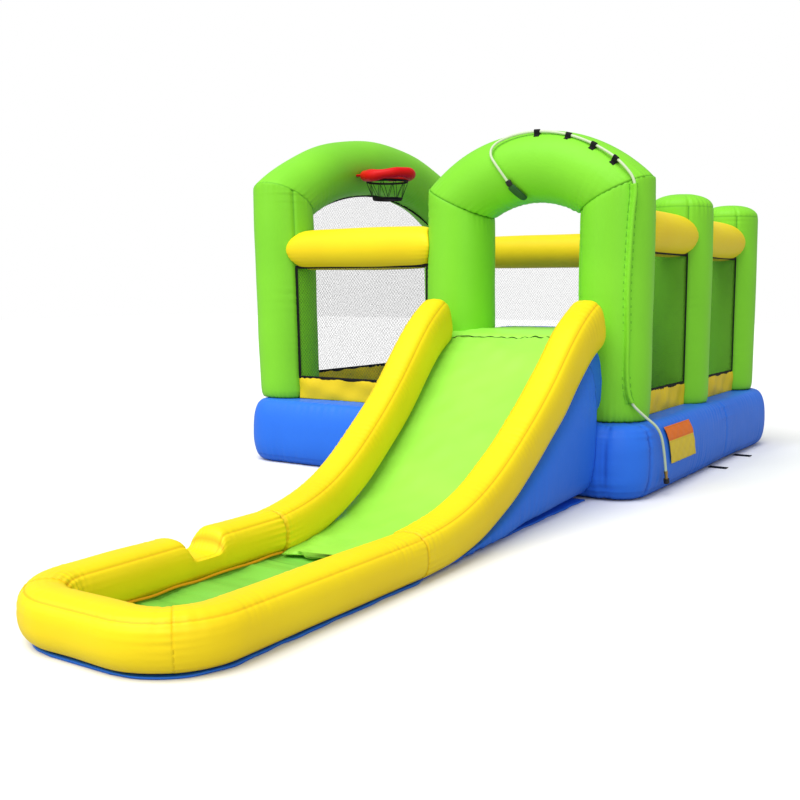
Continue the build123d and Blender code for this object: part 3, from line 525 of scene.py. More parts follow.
# %% Side columns with low round tops
def side_column(name, stands_for, bindings, seed):
    """A standing tube whose top is a low dome, its edge gathered all round."""
    centre, low, high = middle_of(stands_for)
    radius, dome = (high[0] - low[0]) / 2, 0.09
    points, seam = standing_tube(centre, radius, low[2], high[2] - dome, bindings, seed)
    edge = points[-1]
    turn = np.linspace(0, PI / 2, 26)[1:, None]
    shrink, rise = np.cos(turn) ** 0.85, dome * np.sin(turn)
    shrink[-1] = 0.02
    skin = radius * around[None, :]
    pinch = gathers(radius * turn, skin, 0.06, 0.045, 0.006, seed + 5)
    cap = np.empty((len(turn), len(around), 3))
    cap[..., 0] = centre[0] + (edge[:, 0] - centre[0]) * shrink
    cap[..., 1] = centre[1] + (edge[:, 1] - centre[1]) * shrink
    cap[..., 2] = edge[:, 2] + rise + pinch * shrink
    points = np.concatenate([points, cap])
    seam = np.concatenate([seam, np.zeros(cap.shape[:2])])
    bottom = points[:1].mean(1, keepdims=True)
    foot = bottom + (points[:1] - bottom) * np.linspace(0.02, 0.98, 4)[:, None, None]
    points = np.concatenate([foot, points])
    seam = np.concatenate([np.zeros((4, len(around))), seam])
    return piece(name, [dict(points=points, seam=seam)], green_cloth, [stands_for])


side_column("middle_column", "right_middle_column", (-1.02, 1.02), 71)
side_column("back_column", "right_back_column", (-1.02, 2.12), 81)


# %% [markdown]
# ## Beams
# A beam is a tight yellow tube between two columns. Its ends follow the columns' round
# sides, so the line on each side of the tube stops where it meets that circle.

# %% Beams
def beam(name, stands_for, first, last, along_x, seed, radii=(COLUMN_TUBE, COLUMN_TUBE)):
    """A level tube; each line along it runs between the circles of two columns."""
    centre, low, high = middle_of(stands_for)
    radius = (high[2] - low[2]) / 2
    theta = around[None, :]
    count = int((high - low).max() / 0.012)
    share = (0.5 - 0.5 * np.cos(np.linspace(0, PI, count)))[:, None]
    side_middle = centre[1] if along_x else centre[0]
    first_at, last_at = (first[0], last[0]) if along_x else (first[1], last[1])
    first_side, last_side = (first[1], last[1]) if along_x else (first[0], last[0])

    def lay(reach):
        side = side_middle + reach * np.cos(theta)
        start = first_at + np.sqrt((radii[0] + 0.002) ** 2 - (side - first_side) ** 2)
        stop = last_at - np.sqrt((radii[1] + 0.002) ** 2 - (side - last_side) ** 2)
        run = start + (stop - start) * share
        return side + 0 * share, run, centre[2] + reach * np.sin(theta) + 0 * share, start, stop

    _, run, _, start, stop = lay(radius + 0 * share)
    to_end = np.minimum(run - start, stop - run)
    reach = radius - 0.02 * np.exp(-to_end / 0.03) + 0.003 * np.sin(PI * share)
    side, run, z, _, _ = lay(reach)
    points = np.stack([run, side, z] if along_x else [side, run, z], axis=-1)
    skin = radius * theta
    fold = gathers(to_end, skin, 0.06, 0.03, 0.0045, seed)
    fold = fold + dents(points, 0.5, 0.003, seed + 1)
    points = pushed(points, fold)
    seam = thread(to_end) + 0 * points[..., 0]
    points, seam = capped(points, seam, 3)
    return piece(name, [dict(points=points, seam=seam)], yellow_cloth, [stands_for])


feet = {key: middle_of(key)[0] for key in (
    "left_arch_front_leg", "left_arch_rear_leg", "slide_arch_left_leg",
    "slide_arch_right_leg", "right_middle_column", "right_back_column")}
beam("beam_front", "front_beam", feet["left_arch_front_leg"], feet["slide_arch_left_leg"], True, 91,
     (COLUMN_TUBE, SLIDE_TUBE))
beam("beam_back", "back_beam", feet["left_arch_rear_leg"], feet["right_back_column"], True, 95)
beam("beam_right_front", "right_front_beam", feet["slide_arch_right_leg"],
     feet["right_middle_column"], False, 97, (SLIDE_TUBE, COLUMN_TUBE))
beam("beam_right_rear", "right_rear_beam", feet["right_middle_column"],
     feet["right_back_column"], False, 99)


# %% [markdown]
# ## Netting
# The walls are knitted netting, so each one is made of real threads: two sets of thin
# prisms that cross at a slant, cut off where they reach the panel's edge. A black binding
# runs round the panel. A flat sheet with a printed pattern would look solid from the side.

# %% Threads and bindings
def clipped_lines(outline, pitch, slant):
    """Parallel lines at a slant, each cut to a convex outline of (across, up) points."""
    direction = np.array([math.cos(slant), math.sin(slant)])
    normal = np.array([-direction[1], direction[0]])
    heights = outline @ normal
    offsets = np.arange(heights.min() + pitch / 2, heights.max(), pitch)
    after = np.roll(outline, -1, axis=0)
    edge = after - outline
    area = np.sum(outline[:, 0] * after[:, 1] - outline[:, 1] * after[:, 0])
    inward = np.stack([-edge[:, 1], edge[:, 0]], axis=1) * np.sign(area)
    start = offsets[:, None] * normal
    speed = inward @ direction
    gap = np.einsum("ek,lek->le", inward, outline[None] - start[:, None])
    when = gap / np.where(np.abs(speed) < 1e-9, 1e-9, speed)
    enter = np.where(speed > 0, when, -np.inf).max(axis=1)
    leave = np.where(speed < 0, when, np.inf).min(axis=1)
    kept = leave - enter > 0.004
    ends = start[:, None] + np.stack([enter, leave], 1)[..., None] * direction
    return ends[kept]


def prisms(ends, thickness, put):
    """A three-sided prism along each line; put(across, up, out) places a point in space."""
    way = ends[:, 1] - ends[:, 0]
    way = unit(way)
    side = np.stack([-way[:, 1], way[:, 0]], axis=1)
    corners = []
    for angle in (0.5236, 2.618, 4.712):
        flat = ends + side[:, None] * thickness * math.cos(angle)
        corners.append(put(flat[..., 0], flat[..., 1], thickness * math.sin(angle)))
    rings = np.stack(corners, axis=2)
    count = len(ends)
    vertices = rings.reshape(-1, 3)
    base = (np.arange(count) * 6)[:, None]
    quads = np.array([[0, 1, 4, 3], [1, 2, 5, 4], [2, 0, 3, 5]])
    caps = np.array([[0, 2, 1], [3, 4, 5]])
    faces = (base[:, None] + quads[None]).reshape(-1, 4).tolist()
    return vertices, faces + (base[:, None] + caps[None]).reshape(-1, 3).tolist()


def ribbon(outline, width, thickness, put, wave=0.0):
    """A closed flat band along an outline of (across, up) points: a rounded section."""
    after, before = np.roll(outline, -1, axis=0), np.roll(outline, 1, axis=0)
    way = after - before
    way = unit(way)
    side = np.stack([-way[:, 1], way[:, 0]], axis=1)
    turn = circle(8)
    spread = width / 2 * np.cos(turn)
    flat = outline[:, None] + side[:, None] * spread[..., None]
    ripple = wave * np.sin(np.arange(len(outline)) * 0.7)[:, None]
    points = put(flat[..., 0], flat[..., 1], thickness / 2 * np.sin(turn) + ripple)
    return np.concatenate([points, points[:1]])


def dense(outline, step=0.02):
    """More points along the straight runs of a closed outline."""
    pieces = []
    for here, there in zip(outline, np.roll(outline, -1, axis=0)):
        count = max(1, int(np.linalg.norm(there - here) / step))
        pieces.append(here + (there - here) * (np.arange(count) / count)[:, None])
    return np.concatenate(pieces)


THREAD_PITCH, THREAD_RADIUS, BINDING = 0.017, 0.0006, 0.024


def net(name, outline, put, stands_for):
    """Two crossing sets of threads in one object, and a bound edge in another; returns the edge."""
    parts = [prisms(clipped_lines(outline, THREAD_PITCH, slant), THREAD_RADIUS, put)
             for slant in (0.9, PI - 0.9)]
    band = ribbon(dense(outline), BINDING, 0.005, put)
    made = piece(name, [dict(points=band, open_ends=True)], black_webbing, [stands_for])
    work = bmesh.new()
    work.from_mesh(made.data)
    bmesh.ops.remove_doubles(work, verts=work.verts, dist=1e-6)
    work.to_mesh(made.data)
    work.free()
    threads = bpy.data.meshes.new(name + "_threads")
    count, vertices, faces = 0, [], []
    for places, polygons in parts:
        vertices.append(lean(places))
        faces += [[corner + count for corner in polygon] for polygon in polygons]
        count += len(places)
    threads.from_pydata(np.concatenate(vertices), [], faces)
    threads.materials.append(black_thread)
    mesh_object = bpy.data.objects.new(name + "_threads", threads)
    scene.collection.objects.link(mesh_object)
    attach(mesh_object, "root")
    return made


def in_x(y):
    """Places (across, up, out) on a wall that runs along X."""
    return lambda across, up, out: np.stack([across, y + out + 0 * across, up], axis=-1)


def in_y(x):
    """Places (across, up, out) on a wall that runs along Y."""
    return lambda across, up, out: np.stack([x + out + 0 * across, across, up], axis=-1)


def rectangle(x0, x1, z0, z1):
    """The four corners of a net's outline."""
    return np.array([[x0, z0], [x1, z0], [x1, z1], [x0, z1]])


for bay, along_x in (("front", True), ("back_left", True), ("back_right", True),
                     ("right_front", False), ("right_rear", False)):
    centre, low, high = middle_of(bay + "_net")
    across = 0 if along_x else 1
    put = in_x(centre[1]) if along_x else in_y(centre[0])
    net("net_" + bay, rectangle(low[across] + 0.006, high[across] - 0.006, low[2], high[2]), put,
        bay + "_net")

centre, low, high = middle_of("left_net")
arc_radius = left_bend - 0.209
arc_middle = LEFT_SPRING + LEFT_RISE - left_bend
arc_end = math.acos(min(1, (high[1] - centre[1]) / arc_radius))
sweep = np.linspace(arc_end, PI - arc_end, 40)
arc = np.stack([centre[1] + arc_radius * np.cos(sweep), arc_middle + arc_radius * np.sin(sweep)], 1)
left_outline = np.concatenate([[[low[1], low[2]], [high[1], low[2]]], arc])
net("net_left", left_outline, in_y(centre[0]), "left_net")
print("netting walls", 6)


# %% [markdown]
# ## Skirts
# Below each net is a plain yellow strip. It is only as tight as its ends are, so a few slack
# folds cross it at a slant.

# %% Skirts
def skirt(bay, along_x, seed):
    """A thin closed strip: a flat oval section, with slanting folds across its height."""
    centre, low, high = middle_of(bay + "_skirt")
    length_axis = 0 if along_x else 1
    run = np.linspace(low[length_axis], high[length_axis], 90)[:, None]
    height = high[2] - low[2]
    turn = circle(64)
    up = centre[2] + height / 2 * np.sign(np.sin(turn)) * np.abs(np.sin(turn)) ** 0.75
    out = 0.005 * np.cos(turn)
    belly = np.sin(PI * np.clip((up - low[2]) / height, 0, 1))
    slack = 0.007 * np.sin(run * 11 + up * 16 + seed) * belly
    slack = slack + 0.0035 * np.sin(run * 29 - up * 9 + 2 * seed) * (0.3 + belly)
    slack = slack + gathers(high[2] - up, run, 0.04, 0.05, 0.003, 600 + seed)
    middle = centre[1] if along_x else centre[0]
    side = middle + out + slack
    run, up = run + 0 * side, up + 0 * side
    points = np.stack([run, side, up] if along_x else [side, run, up], axis=-1)
    made = piece("skirt_" + bay, [dict(points=points)], skirt_cloth, [bay + "_skirt"])


for number, (bay, along_x) in enumerate((("front", True), ("back_left", True),
                                         ("back_right", True), ("right_front", False),
                                         ("right_rear", False), ("left", False))):
    skirt(bay, along_x, number)
print("skirts", 6)


# %% [markdown]
# ## The mattress
# The base is one wide chamber. Its plan is a rounded rectangle, and its side is a profile
# that bulges like a barrel. Carrying the profile round the plan gives the side; rings that
# shrink to the middle close the top and the foot.

# %% Rounded plans and barrel sides
def rounded_plan(x0, x1, y0, y1, radius, step=0.014):
    """Points, outward directions and arc length round a rectangle with rounded corners."""
    places, ways = [], []
    for cx, cy, start in ((x1 - radius, y0 + radius, -PI / 2), (x1 - radius, y1 - radius, 0),
                          (x0 + radius, y1 - radius, PI / 2), (x0 + radius, y0 + radius, PI)):
        angle = start + np.linspace(0, PI / 2, max(6, int(radius * PI / 2 / step)))
        way = np.stack([np.cos(angle), np.sin(angle)], axis=1)
        places.append(np.array([cx, cy]) + radius * way)
        ways.append(way)
    points, directions = [], []
    for here, way, there in zip(places, ways, places[1:] + places[:1]):
        gap = there[0] - here[-1]
        count = max(2, int(np.linalg.norm(gap) / step))
        share = (np.arange(1, count) / count)[:, None]
        points += [here, here[-1] + gap * share]
        directions += [way, np.repeat(way[-1:], count - 1, axis=0)]
    points, directions = np.concatenate(points), np.concatenate(directions)
    run = np.linalg.norm(np.diff(points, axis=0), axis=1)
    return points, directions, np.concatenate([[0], np.cumsum(run)])


def barrel(z0, z1, bulge, edge, count=46):
    """Inset and height of a side: a superellipse quarter turn above and below a bulge."""
    turn = np.linspace(-PI / 2, PI / 2, count)
    cosine, sine = np.cos(turn), np.sin(turn)
    inset = edge * (1 - cosine ** 0.62) - bulge * cosine
    height = (z0 + z1) / 2 + (z1 - z0) / 2 * np.sign(sine) * np.abs(sine) ** 0.8
    return inset, height


def puffed_block(x0, x1, y0, y1, z0, z1, radius, bulge, edge, folds, crown_rise=0.0, step=0.014):
    """A closed chamber: the barrel side, and rings that shrink to the middle above and below."""
    plan, way, run = rounded_plan(x0, x1, y0, y1, radius, step)
    inset, height = barrel(z0, z1, bulge, edge)
    side = np.empty((len(inset), len(plan), 3))
    side[..., :2] = plan[None] - way[None] * inset[:, None, None]
    side[..., 2] = height[:, None]
    offset, seam = folds(side, run[None, :], height[:, None])
    side = pushed(side, offset)
    middle = plan.mean(0)
    shrink = np.linspace(1, 0.02, 22)[1:, None, None]
    top, foot = np.repeat(side[-1:], 21, axis=0), np.repeat(side[:1], 21, axis=0)
    for ring in (top, foot):
        ring[..., :2] = middle + (ring[..., :2] - middle) * shrink
    top[..., 2] += crown_rise * (1 - shrink[..., 0] ** 2)
    points = np.concatenate([foot[::-1], side, top])
    blank = np.zeros((21, len(plan)))
    return dict(points=points, seam=np.concatenate([blank, seam + 0 * side[..., 0], blank]))


# %% Mattress
centre, low, high = middle_of("base_mattress")
slide_low, slide_high = middle_of("slide_body")[1:]


def mattress_folds(points, run, height):
    """Gathers by the upright seams, at the lower edge and under the arch's right leg."""
    top_seam = high[2] - 0.035 - height
    low_seam = height - 0.05
    fold = gathers(low_seam, run, 0.07, 0.055, 0.006, 201)
    fold = fold + gathers(top_seam, run, 0.05, 0.06, 0.004, 202)
    fold = fold + dents(points, 0.8, 0.008, 203)
    seam = 0 * run + 0.7 * thread(low_seam, 0.005)
    front = np.exp(-((points[..., 1] - low[1]) / 0.12) ** 2)
    right = np.exp(-((points[..., 0] - high[0]) / 0.12) ** 2)
    for number, (axis, place, face) in enumerate((
            (0, slide_high[0] + 0.02, front), (0, slide_low[0] - 0.02, front), (0, 1.27, front),
            (1, 0.12, right), (1, 1.62, right))):
        away = points[..., axis] - place
        fold = fold + face * gathers(away, height, 0.09, 0.034, 0.006, 210 + number)
        fold = fold + face * valley(away, 0.014, 0.007)
        seam = seam + face * thread(away, 0.004)
    return fold, np.clip(seam, 0, 1)


LEFT_INSET, SIDE_INSET, BACK_INSET = 0.10, 0.03, 0.044
BASE_FOOT, BASE_BULGE, BASE_EDGE = 0.004, 0.028, 0.075
mattress = puffed_block(low[0] + LEFT_INSET, high[0] - SIDE_INSET, low[1] + SIDE_INSET,
                        high[1] - BACK_INSET, BASE_FOOT, high[2] - 0.002, 0.22, BASE_BULGE,
                        BASE_EDGE, mattress_folds)
piece("mattress", [mattress], blue_cloth, ["base_mattress"])

# %% Bouncing floor
centre, low, high = middle_of("bounce_floor")
count_x, count_y = 240, 60
x = np.linspace(low[0], high[0], count_x)[:, None] + np.zeros((1, count_y))
y = np.linspace(low[1], high[1], count_y)[None, :] + np.zeros((count_x, 1))
channel = np.abs(((x - low[0]) / 0.249 + 0.5) % 1 - 0.5) * 0.249
edge_away = np.minimum(np.minimum(x - low[0], high[0] - x), np.minimum(y - low[1], high[1] - y))
z = high[2] + 0.011 - 0.016 * np.exp(-channel / 0.03) - 0.012 * np.exp(-edge_away / 0.03)
z = z + gathers(channel, y, 0.05, 0.05, 0.003, 230)
sheet_top = np.stack([x, y, z], axis=-1)
sheet_foot = sheet_top[::-1].copy()
sheet_foot[..., 2] = low[2] + 0.004
floor_seam = np.concatenate([thread(channel, 0.004), 0 * channel])
loop = np.concatenate([sheet_top, sheet_foot]).transpose(1, 0, 2)
piece("bouncing_floor", [dict(points=loop, seam=floor_seam.T)], blue_cloth, ["bounce_floor"])


# %% Platform and climbing steps
def plain_folds(seed):
    """Gathers at the upper and lower edge, with broad unevenness between them."""
    def folds(points, run, height):
        top, foot = height.max() - 0.03 - height, height - height.min() - 0.03
        fold = gathers(top, run, 0.05, 0.04, 0.004, seed) + dents(points, 0.4, 0.005, seed + 1)
        fold = fold + gathers(foot, run, 0.05, 0.045, 0.004, seed + 2)
        return fold, 0.8 * thread(top, 0.005) + 0 * run
    return folds


_, low, high = middle_of("platform")
left_foot, right_foot = feet["slide_arch_left_leg"], feet["slide_arch_right_leg"]
behind_legs = left_foot[1] + SLIDE_TUBE + 0.004
deck = puffed_block(low[0] + 0.02, high[0] - 0.02, behind_legs + 0.02, high[1] - 0.004, low[2],
                    high[2] - 0.004, 0.07, 0.014, 0.05, plain_folds(240), 0.006, 0.02)
between = puffed_block(left_foot[0] + 0.235, right_foot[0] - 0.235, low[1] + 0.02,
                       behind_legs + 0.01, low[2], high[2] - 0.006, 0.05, 0.008, 0.04,
                       plain_folds(243), 0.004, 0.02)
piece("deck", [deck, between], blue_cloth, ["platform"])
_, low, high = middle_of("climbing_steps")
lower_top = low[2] + (high[2] - low[2]) / 2
lower = puffed_block(low[0] + 0.016, high[0] - 0.016, low[1] + 0.27, high[1] - 0.014, low[2],
                     lower_top, 0.07, 0.014, 0.05, plain_folds(250), 0.004, 0.02)
upper = puffed_block(low[0] + 0.016, high[0] - 0.016, low[1] + 0.01, low[1] + 0.262, low[2],
                     high[2] - 0.004, 0.07, 0.012, 0.05, plain_folds(255), 0.004, 0.02)
piece("steps", [lower, upper], blue_cloth, ["climbing_steps"])


# %% [markdown]
# ## The slide
# The bed hangs between two rails and follows one long curve: steep at first, then level in
# the pool. A cubic curve through the same few heights as the frame's gives every station
# along the slide its height; the slide also gets narrower towards its foot.

# %% The slide's lines
def smooth_curve(stations, heights):
    """A natural cubic curve through points: returns a function of the station."""
    x, y = np.array(stations, float), np.array(heights, float)
    order = np.argsort(x)
    x, y = x[order], y[order]
    gap = np.diff(x)
    count = len(x)
    matrix, right = np.eye(count), np.zeros(count)
    for row in range(1, count - 1):
        matrix[row, row - 1:row + 2] = gap[row - 1], 2 * (gap[row - 1] + gap[row]), gap[row]
        right[row] = 6 * ((y[row + 1] - y[row]) / gap[row] - (y[row] - y[row - 1]) / gap[row - 1])
    bending = np.linalg.solve(matrix, right)

    def height(at):
        at = np.asarray(at, float)
        cell = np.clip(np.searchsorted(x, at) - 1, 0, count - 2)
        left, rest, wide = at - x[cell], x[cell + 1] - at, gap[cell]
        return ((bending[cell] * rest ** 3 + bending[cell + 1] * left ** 3) / (6 * wide)
                + (y[cell] / wide - bending[cell] * wide / 6) * rest
                + (y[cell + 1] / wide - bending[cell + 1] * wide / 6) * left)
    return height


bed_height = smooth_curve((0.225, 0.056, -0.274, -0.764, -1.164, -1.564, -2.004),
                          (0.945, 0.927, 0.730, 0.395, 0.165, 0.066, 0.044))
rail_height = smooth_curve((-0.014, -0.274, -0.614, -0.964, -1.314, -1.664, -2.004, -2.064),
                           (1.025, 0.905, 0.655, 0.425, 0.245, 0.140, 0.111, 0.111))
SLIDE_TOP, SLIDE_FOOT, RAIL_HALF = -0.014, -2.004, 0.1


def side_at(y, top_x, foot_x):
    """The rail's outer side, straight from the slide's top to its foot."""
    return top_x + (y - SLIDE_TOP) / (SLIDE_FOOT - SLIDE_TOP) * (foot_x - top_x)


def slide_left(y):
    """The slide's left side at a station."""
    return side_at(y, 0.085, 0.385)


def slide_right(y):
    """The slide's right side at a station."""
    return side_at(y, 1.280, 1.325)


# %% Rails
def rail(name, stands_for, side_x, sign, seed):
    """An oval section carried down the rail's line; its half height falls from 15 to 10 cm."""
    y = np.linspace(0.012, SLIDE_FOOT + 0.004, 250)
    z = rail_height(np.minimum(y, -0.014)) + np.maximum(y + 0.014, 0) * 0.42
    x = side_x(y) - sign * RAIL_HALF
    line = np.stack([x, y, z], axis=1)
    way = np.gradient(line, axis=0)
    way = unit(way)
    run = lengths_along(line)
    share = np.clip((y - SLIDE_TOP) / (SLIDE_FOOT - SLIDE_TOP), 0, 1)
    tall = (0.150 + share * (0.1025 - 0.150))[:, None]
    head = np.sqrt(np.clip(1 - np.clip(1 - run / 0.13, 0, 1) ** 2, 0.0004, 1))[:, None]
    across = np.stack([way[:, 1], -way[:, 0], 0 * way[:, 0]], axis=1)
    across = unit(across)
    up = np.cross(way, across)
    up *= np.sign(up[:, 2:3])
    theta = around[None, :]
    boxy = (np.abs(np.cos(theta)) ** 3.2 + np.abs(np.sin(theta)) ** 2.6) ** (-1 / 2.9)
    wide = RAIL_HALF * head * boxy * np.cos(theta)
    high_part = tall * head * boxy * np.sin(theta)
    points = line[:, None] + across[:, None] * wide[..., None] + up[:, None] * high_part[..., None]
    points[..., 2] = np.maximum(points[..., 2], 0.0088)
    skin = 0.13 * theta
    distance = run[:, None]
    fold = dents(points, 0.35, 0.004, seed)
    seam = 0 * fold
    for number, angle in enumerate((0.86, PI - 0.86)):
        away = turn_to(theta, angle, 0.13)
        fold = fold + gathers(away, distance, 0.05, 0.036, 0.0032, seed + 1 + number)
        fold = fold + valley(away, 0.010, 0.0035)
        seam = seam + 0.9 * thread(away, 0.0035)
    foot = run[-1] - distance
    fold = fold + gathers(foot, skin, 0.07, 0.03, 0.003, seed + 5)
    fold = fold + gathers(distance - 0.05, skin, 0.06, 0.05, 0.004, seed + 6) * head
    seam = seam + 0.35 * thread(foot, 0.003)
    points = pushed(points, fold)
    points[..., 2] = np.maximum(points[..., 2], 0.0086)
    return piece(name, [dict(points=points, seam=np.clip(seam, 0, 1))], yellow_cloth,
                 [stands_for])


rail("rail_right", "right_rail", slide_right, 1, 301)
rail("rail_left", "left_rail", slide_left, -1, 311)


# %% Blue sides of the slide
def slide_block(seed, y_from, y_to, low_z, count, inset):
    """Sections across the slide: a rounded box as wide as the slide and as high as its bed."""
    y = np.linspace(y_from, y_to, count)[:, None]
    turn = circle(180)
    cosine, sine = np.cos(turn), np.sin(turn)
    left, right = slide_left(y) + inset, slide_right(y) - inset
    top = bed_height(y) - 0.030
    half_wide, half_tall = (right - left) / 2, np.maximum((top - low_z) / 2, 0.008)
    power = np.clip(0.16 + 0.05 / np.maximum(half_tall, 0.05), 0.16, 0.6)
    x = (left + right) / 2 + half_wide * np.sign(cosine) * np.abs(cosine) ** power
    z = (top + low_z) / 2 + half_tall * np.sign(sine) * np.abs(sine) ** 0.30
    bulge = 0.03 * np.cos(np.clip((z - (top + low_z) / 2) / half_tall, -1, 1) * PI / 2)
    bulge = bulge * np.clip(half_tall / 0.18, 0, 1)
    x = x + np.sign(cosine) * bulge * (np.abs(cosine) > 0.3)
    points = np.stack([x, y + 0 * x, z], axis=-1)
    side = np.clip((np.abs(cosine) - 0.35) * 4, 0, 1)
    fold = side * gathers(top - z, y, 0.10, 0.05, 0.006, seed)
    fold = fold + side * gathers(z - low_z, y, 0.06, 0.05, 0.006, seed + 1)
    fold = fold + side * dents(points, 0.45, 0.008, seed + 2)
    away = y - y_to
    fold = fold + side * gathers(away, z, 0.08, 0.036, 0.006, seed + 3)
    points = pushed(points, fold)
    points[..., 2] = np.clip(points[..., 2], low_z, None)
    return dict(points=points, seam=side * np.clip(thread(z - low_z - 0.012, 0.004), 0, 1) * 0.7)


base_front = middle_of("base_mattress")[1][1]
lower_block = slide_block(320, SLIDE_FOOT, base_front - 0.006, 0.0095, 150, 0.062)
upper_block = slide_block(330, base_front + 0.012, 0.2, 0.438, 40, 0.105)
piece("slide_sides", [lower_block, upper_block], blue_cloth, ["slide_body"])

# %% Slide bed with its loose hem
share = np.linspace(-1, 1, 110)[None, :]
BED_BACK = 0.62
y_end = SLIDE_FOOT - 0.05 + 0.10 * (share + 1)
y = BED_BACK + (y_end - BED_BACK) * np.linspace(0, 1, 340)[:, None]
beside = np.where(y > feet["slide_arch_left_leg"][1], 0, y - feet["slide_arch_left_leg"][1])
gap = np.sqrt(np.maximum(0.216 ** 2 - beside ** 2, 0))
left = np.maximum(slide_left(y) + 0.135, feet["slide_arch_left_leg"][0] + gap)
right = np.minimum(slide_right(y) - 0.135, feet["slide_arch_right_leg"][0] - gap)
past = np.clip(1 - (y - y_end) / 0.11, 0, 1)
hem = np.clip(1 - (y - y_end) / 0.35, 0, 1)
left, right = left + 0.075 * hem, right - 0.075 * hem
x = (left + right) / 2 + (right - left) / 2 * share
ragged = 0.03 * np.sin(share * 4.1 + 0.6) + 0.016 * np.sin(share * 9.3 + 2.0)
y_here = y + past * ragged
z = bed_height(np.clip(y, SLIDE_FOOT, 0.18)) - 0.002 - 0.018 * np.abs(share) ** 6 * (y < 0)
z = z + 0.010 * np.clip(y / 0.2, 0, 1)
points = np.stack([x, y_here, z], axis=-1)
z_fold = dents(points, 0.42, 0.010, 341) + dents(points * (1, 0.55, 1), 0.15, 0.010, 342)
z_fold = z_fold * np.clip(1 - y / 0.1, 0.25, 1)
z_fold = z_fold + gathers((1 - np.abs(share)) * (right - left) / 2, y, 0.10, 0.07, 0.006, 343)
z_fold = z_fold + hem * 0.010 * np.sin(share * 7.5 + 3 * y) + past * 0.005 * (
    1 + np.sin(share * 9 + 1.2))
top_seam = y - 0.022
z_fold = z_fold + valley(top_seam, 0.012, 0.010) * (1 + 0.5 * np.sin(share * 40))
points[..., 2] += z_fold * (1 - 0.4 * np.abs(share) ** 4)
points[..., 2] = np.maximum(points[..., 2], 0.043)
under = points[:, ::-1].copy()
under[..., 2] -= 0.006
bed_loop = np.concatenate([points, under], axis=1)
hem_seam = 0.6 * thread(past - 0.78, 0.03)
bed_seam = np.concatenate([hem_seam, 0 * hem_seam], axis=1)
bed = piece("bed", [dict(points=bed_loop, seam=np.clip(bed_seam, 0, 1))], bed_cloth,
            ["slide_bed"])
row = np.argmin(np.abs(y[:, 55] - 0.022))
crest = points[row, 3:-3]
wander = 0.006 * np.sin(np.linspace(0, 37, len(crest)))
wander = wander + 0.004 * np.sin(np.linspace(1, 90, len(crest)))
turn = circle(8)
stitch = np.repeat(crest[:, None], 8, axis=1)
stitch[..., 1] += wander[:, None] + 0.005 * np.cos(turn)
stitch[..., 2] += 0.003 + 0.0022 * np.sin(turn)
piece("bed_stitch", [dict(points=stitch)], black_webbing)


# %% [markdown]
# ## The splash pool
# One tube runs round three sides of the pool and is sewn at its corners. Its section is a
# rounded box with a seam at each upper edge. A low place in its left wall lets a child step
# in: there the top of the section dips.

# %% Pool walls
ring_half_wide, ring_half_tall = 0.1, 0.1025
front_low = middle_of("pool_front_wall")[1]
_, right_low, right_high = middle_of("pool_right_wall")
left_low = middle_of("pool_left_wall")[1]
RING_MIDDLE = right_low[2] + ring_half_tall
CORNER = 0.23
x_left, x_right = left_low[0] + RAIL_HALF, right_high[0] - RAIL_HALF
y_front, y_back = front_low[1] + RAIL_HALF, right_high[1]
NOTCH_AT, NOTCH_HALF = -2.49, 0.088


def pool_line():
    """The wall's middle line from the right back end round the front to the left back end."""
    straight = np.array([[x_right, y_back], [x_right, y_front + CORNER]])
    quarter = np.linspace(0, PI / 2, 40)[:, None]
    turn = np.concatenate([np.cos(quarter), -np.sin(quarter)], axis=1) * CORNER
    corner_right = np.array([x_right - CORNER, y_front + CORNER]) + turn
    mirrored = turn[::-1] * (-1, 1)
    corner_left = np.array([x_left + CORNER, y_front + CORNER]) + mirrored
    last = np.array([[x_left, y_back]])
    rough = np.concatenate([straight, corner_right[1:], corner_left, last])
    run = lengths_along(rough)
    return rough, run


rough, rough_run = pool_line()
mitre_first = y_back - (y_front + CORNER) + CORNER * PI / 4
mitre_last = rough_run[-1] - mitre_first


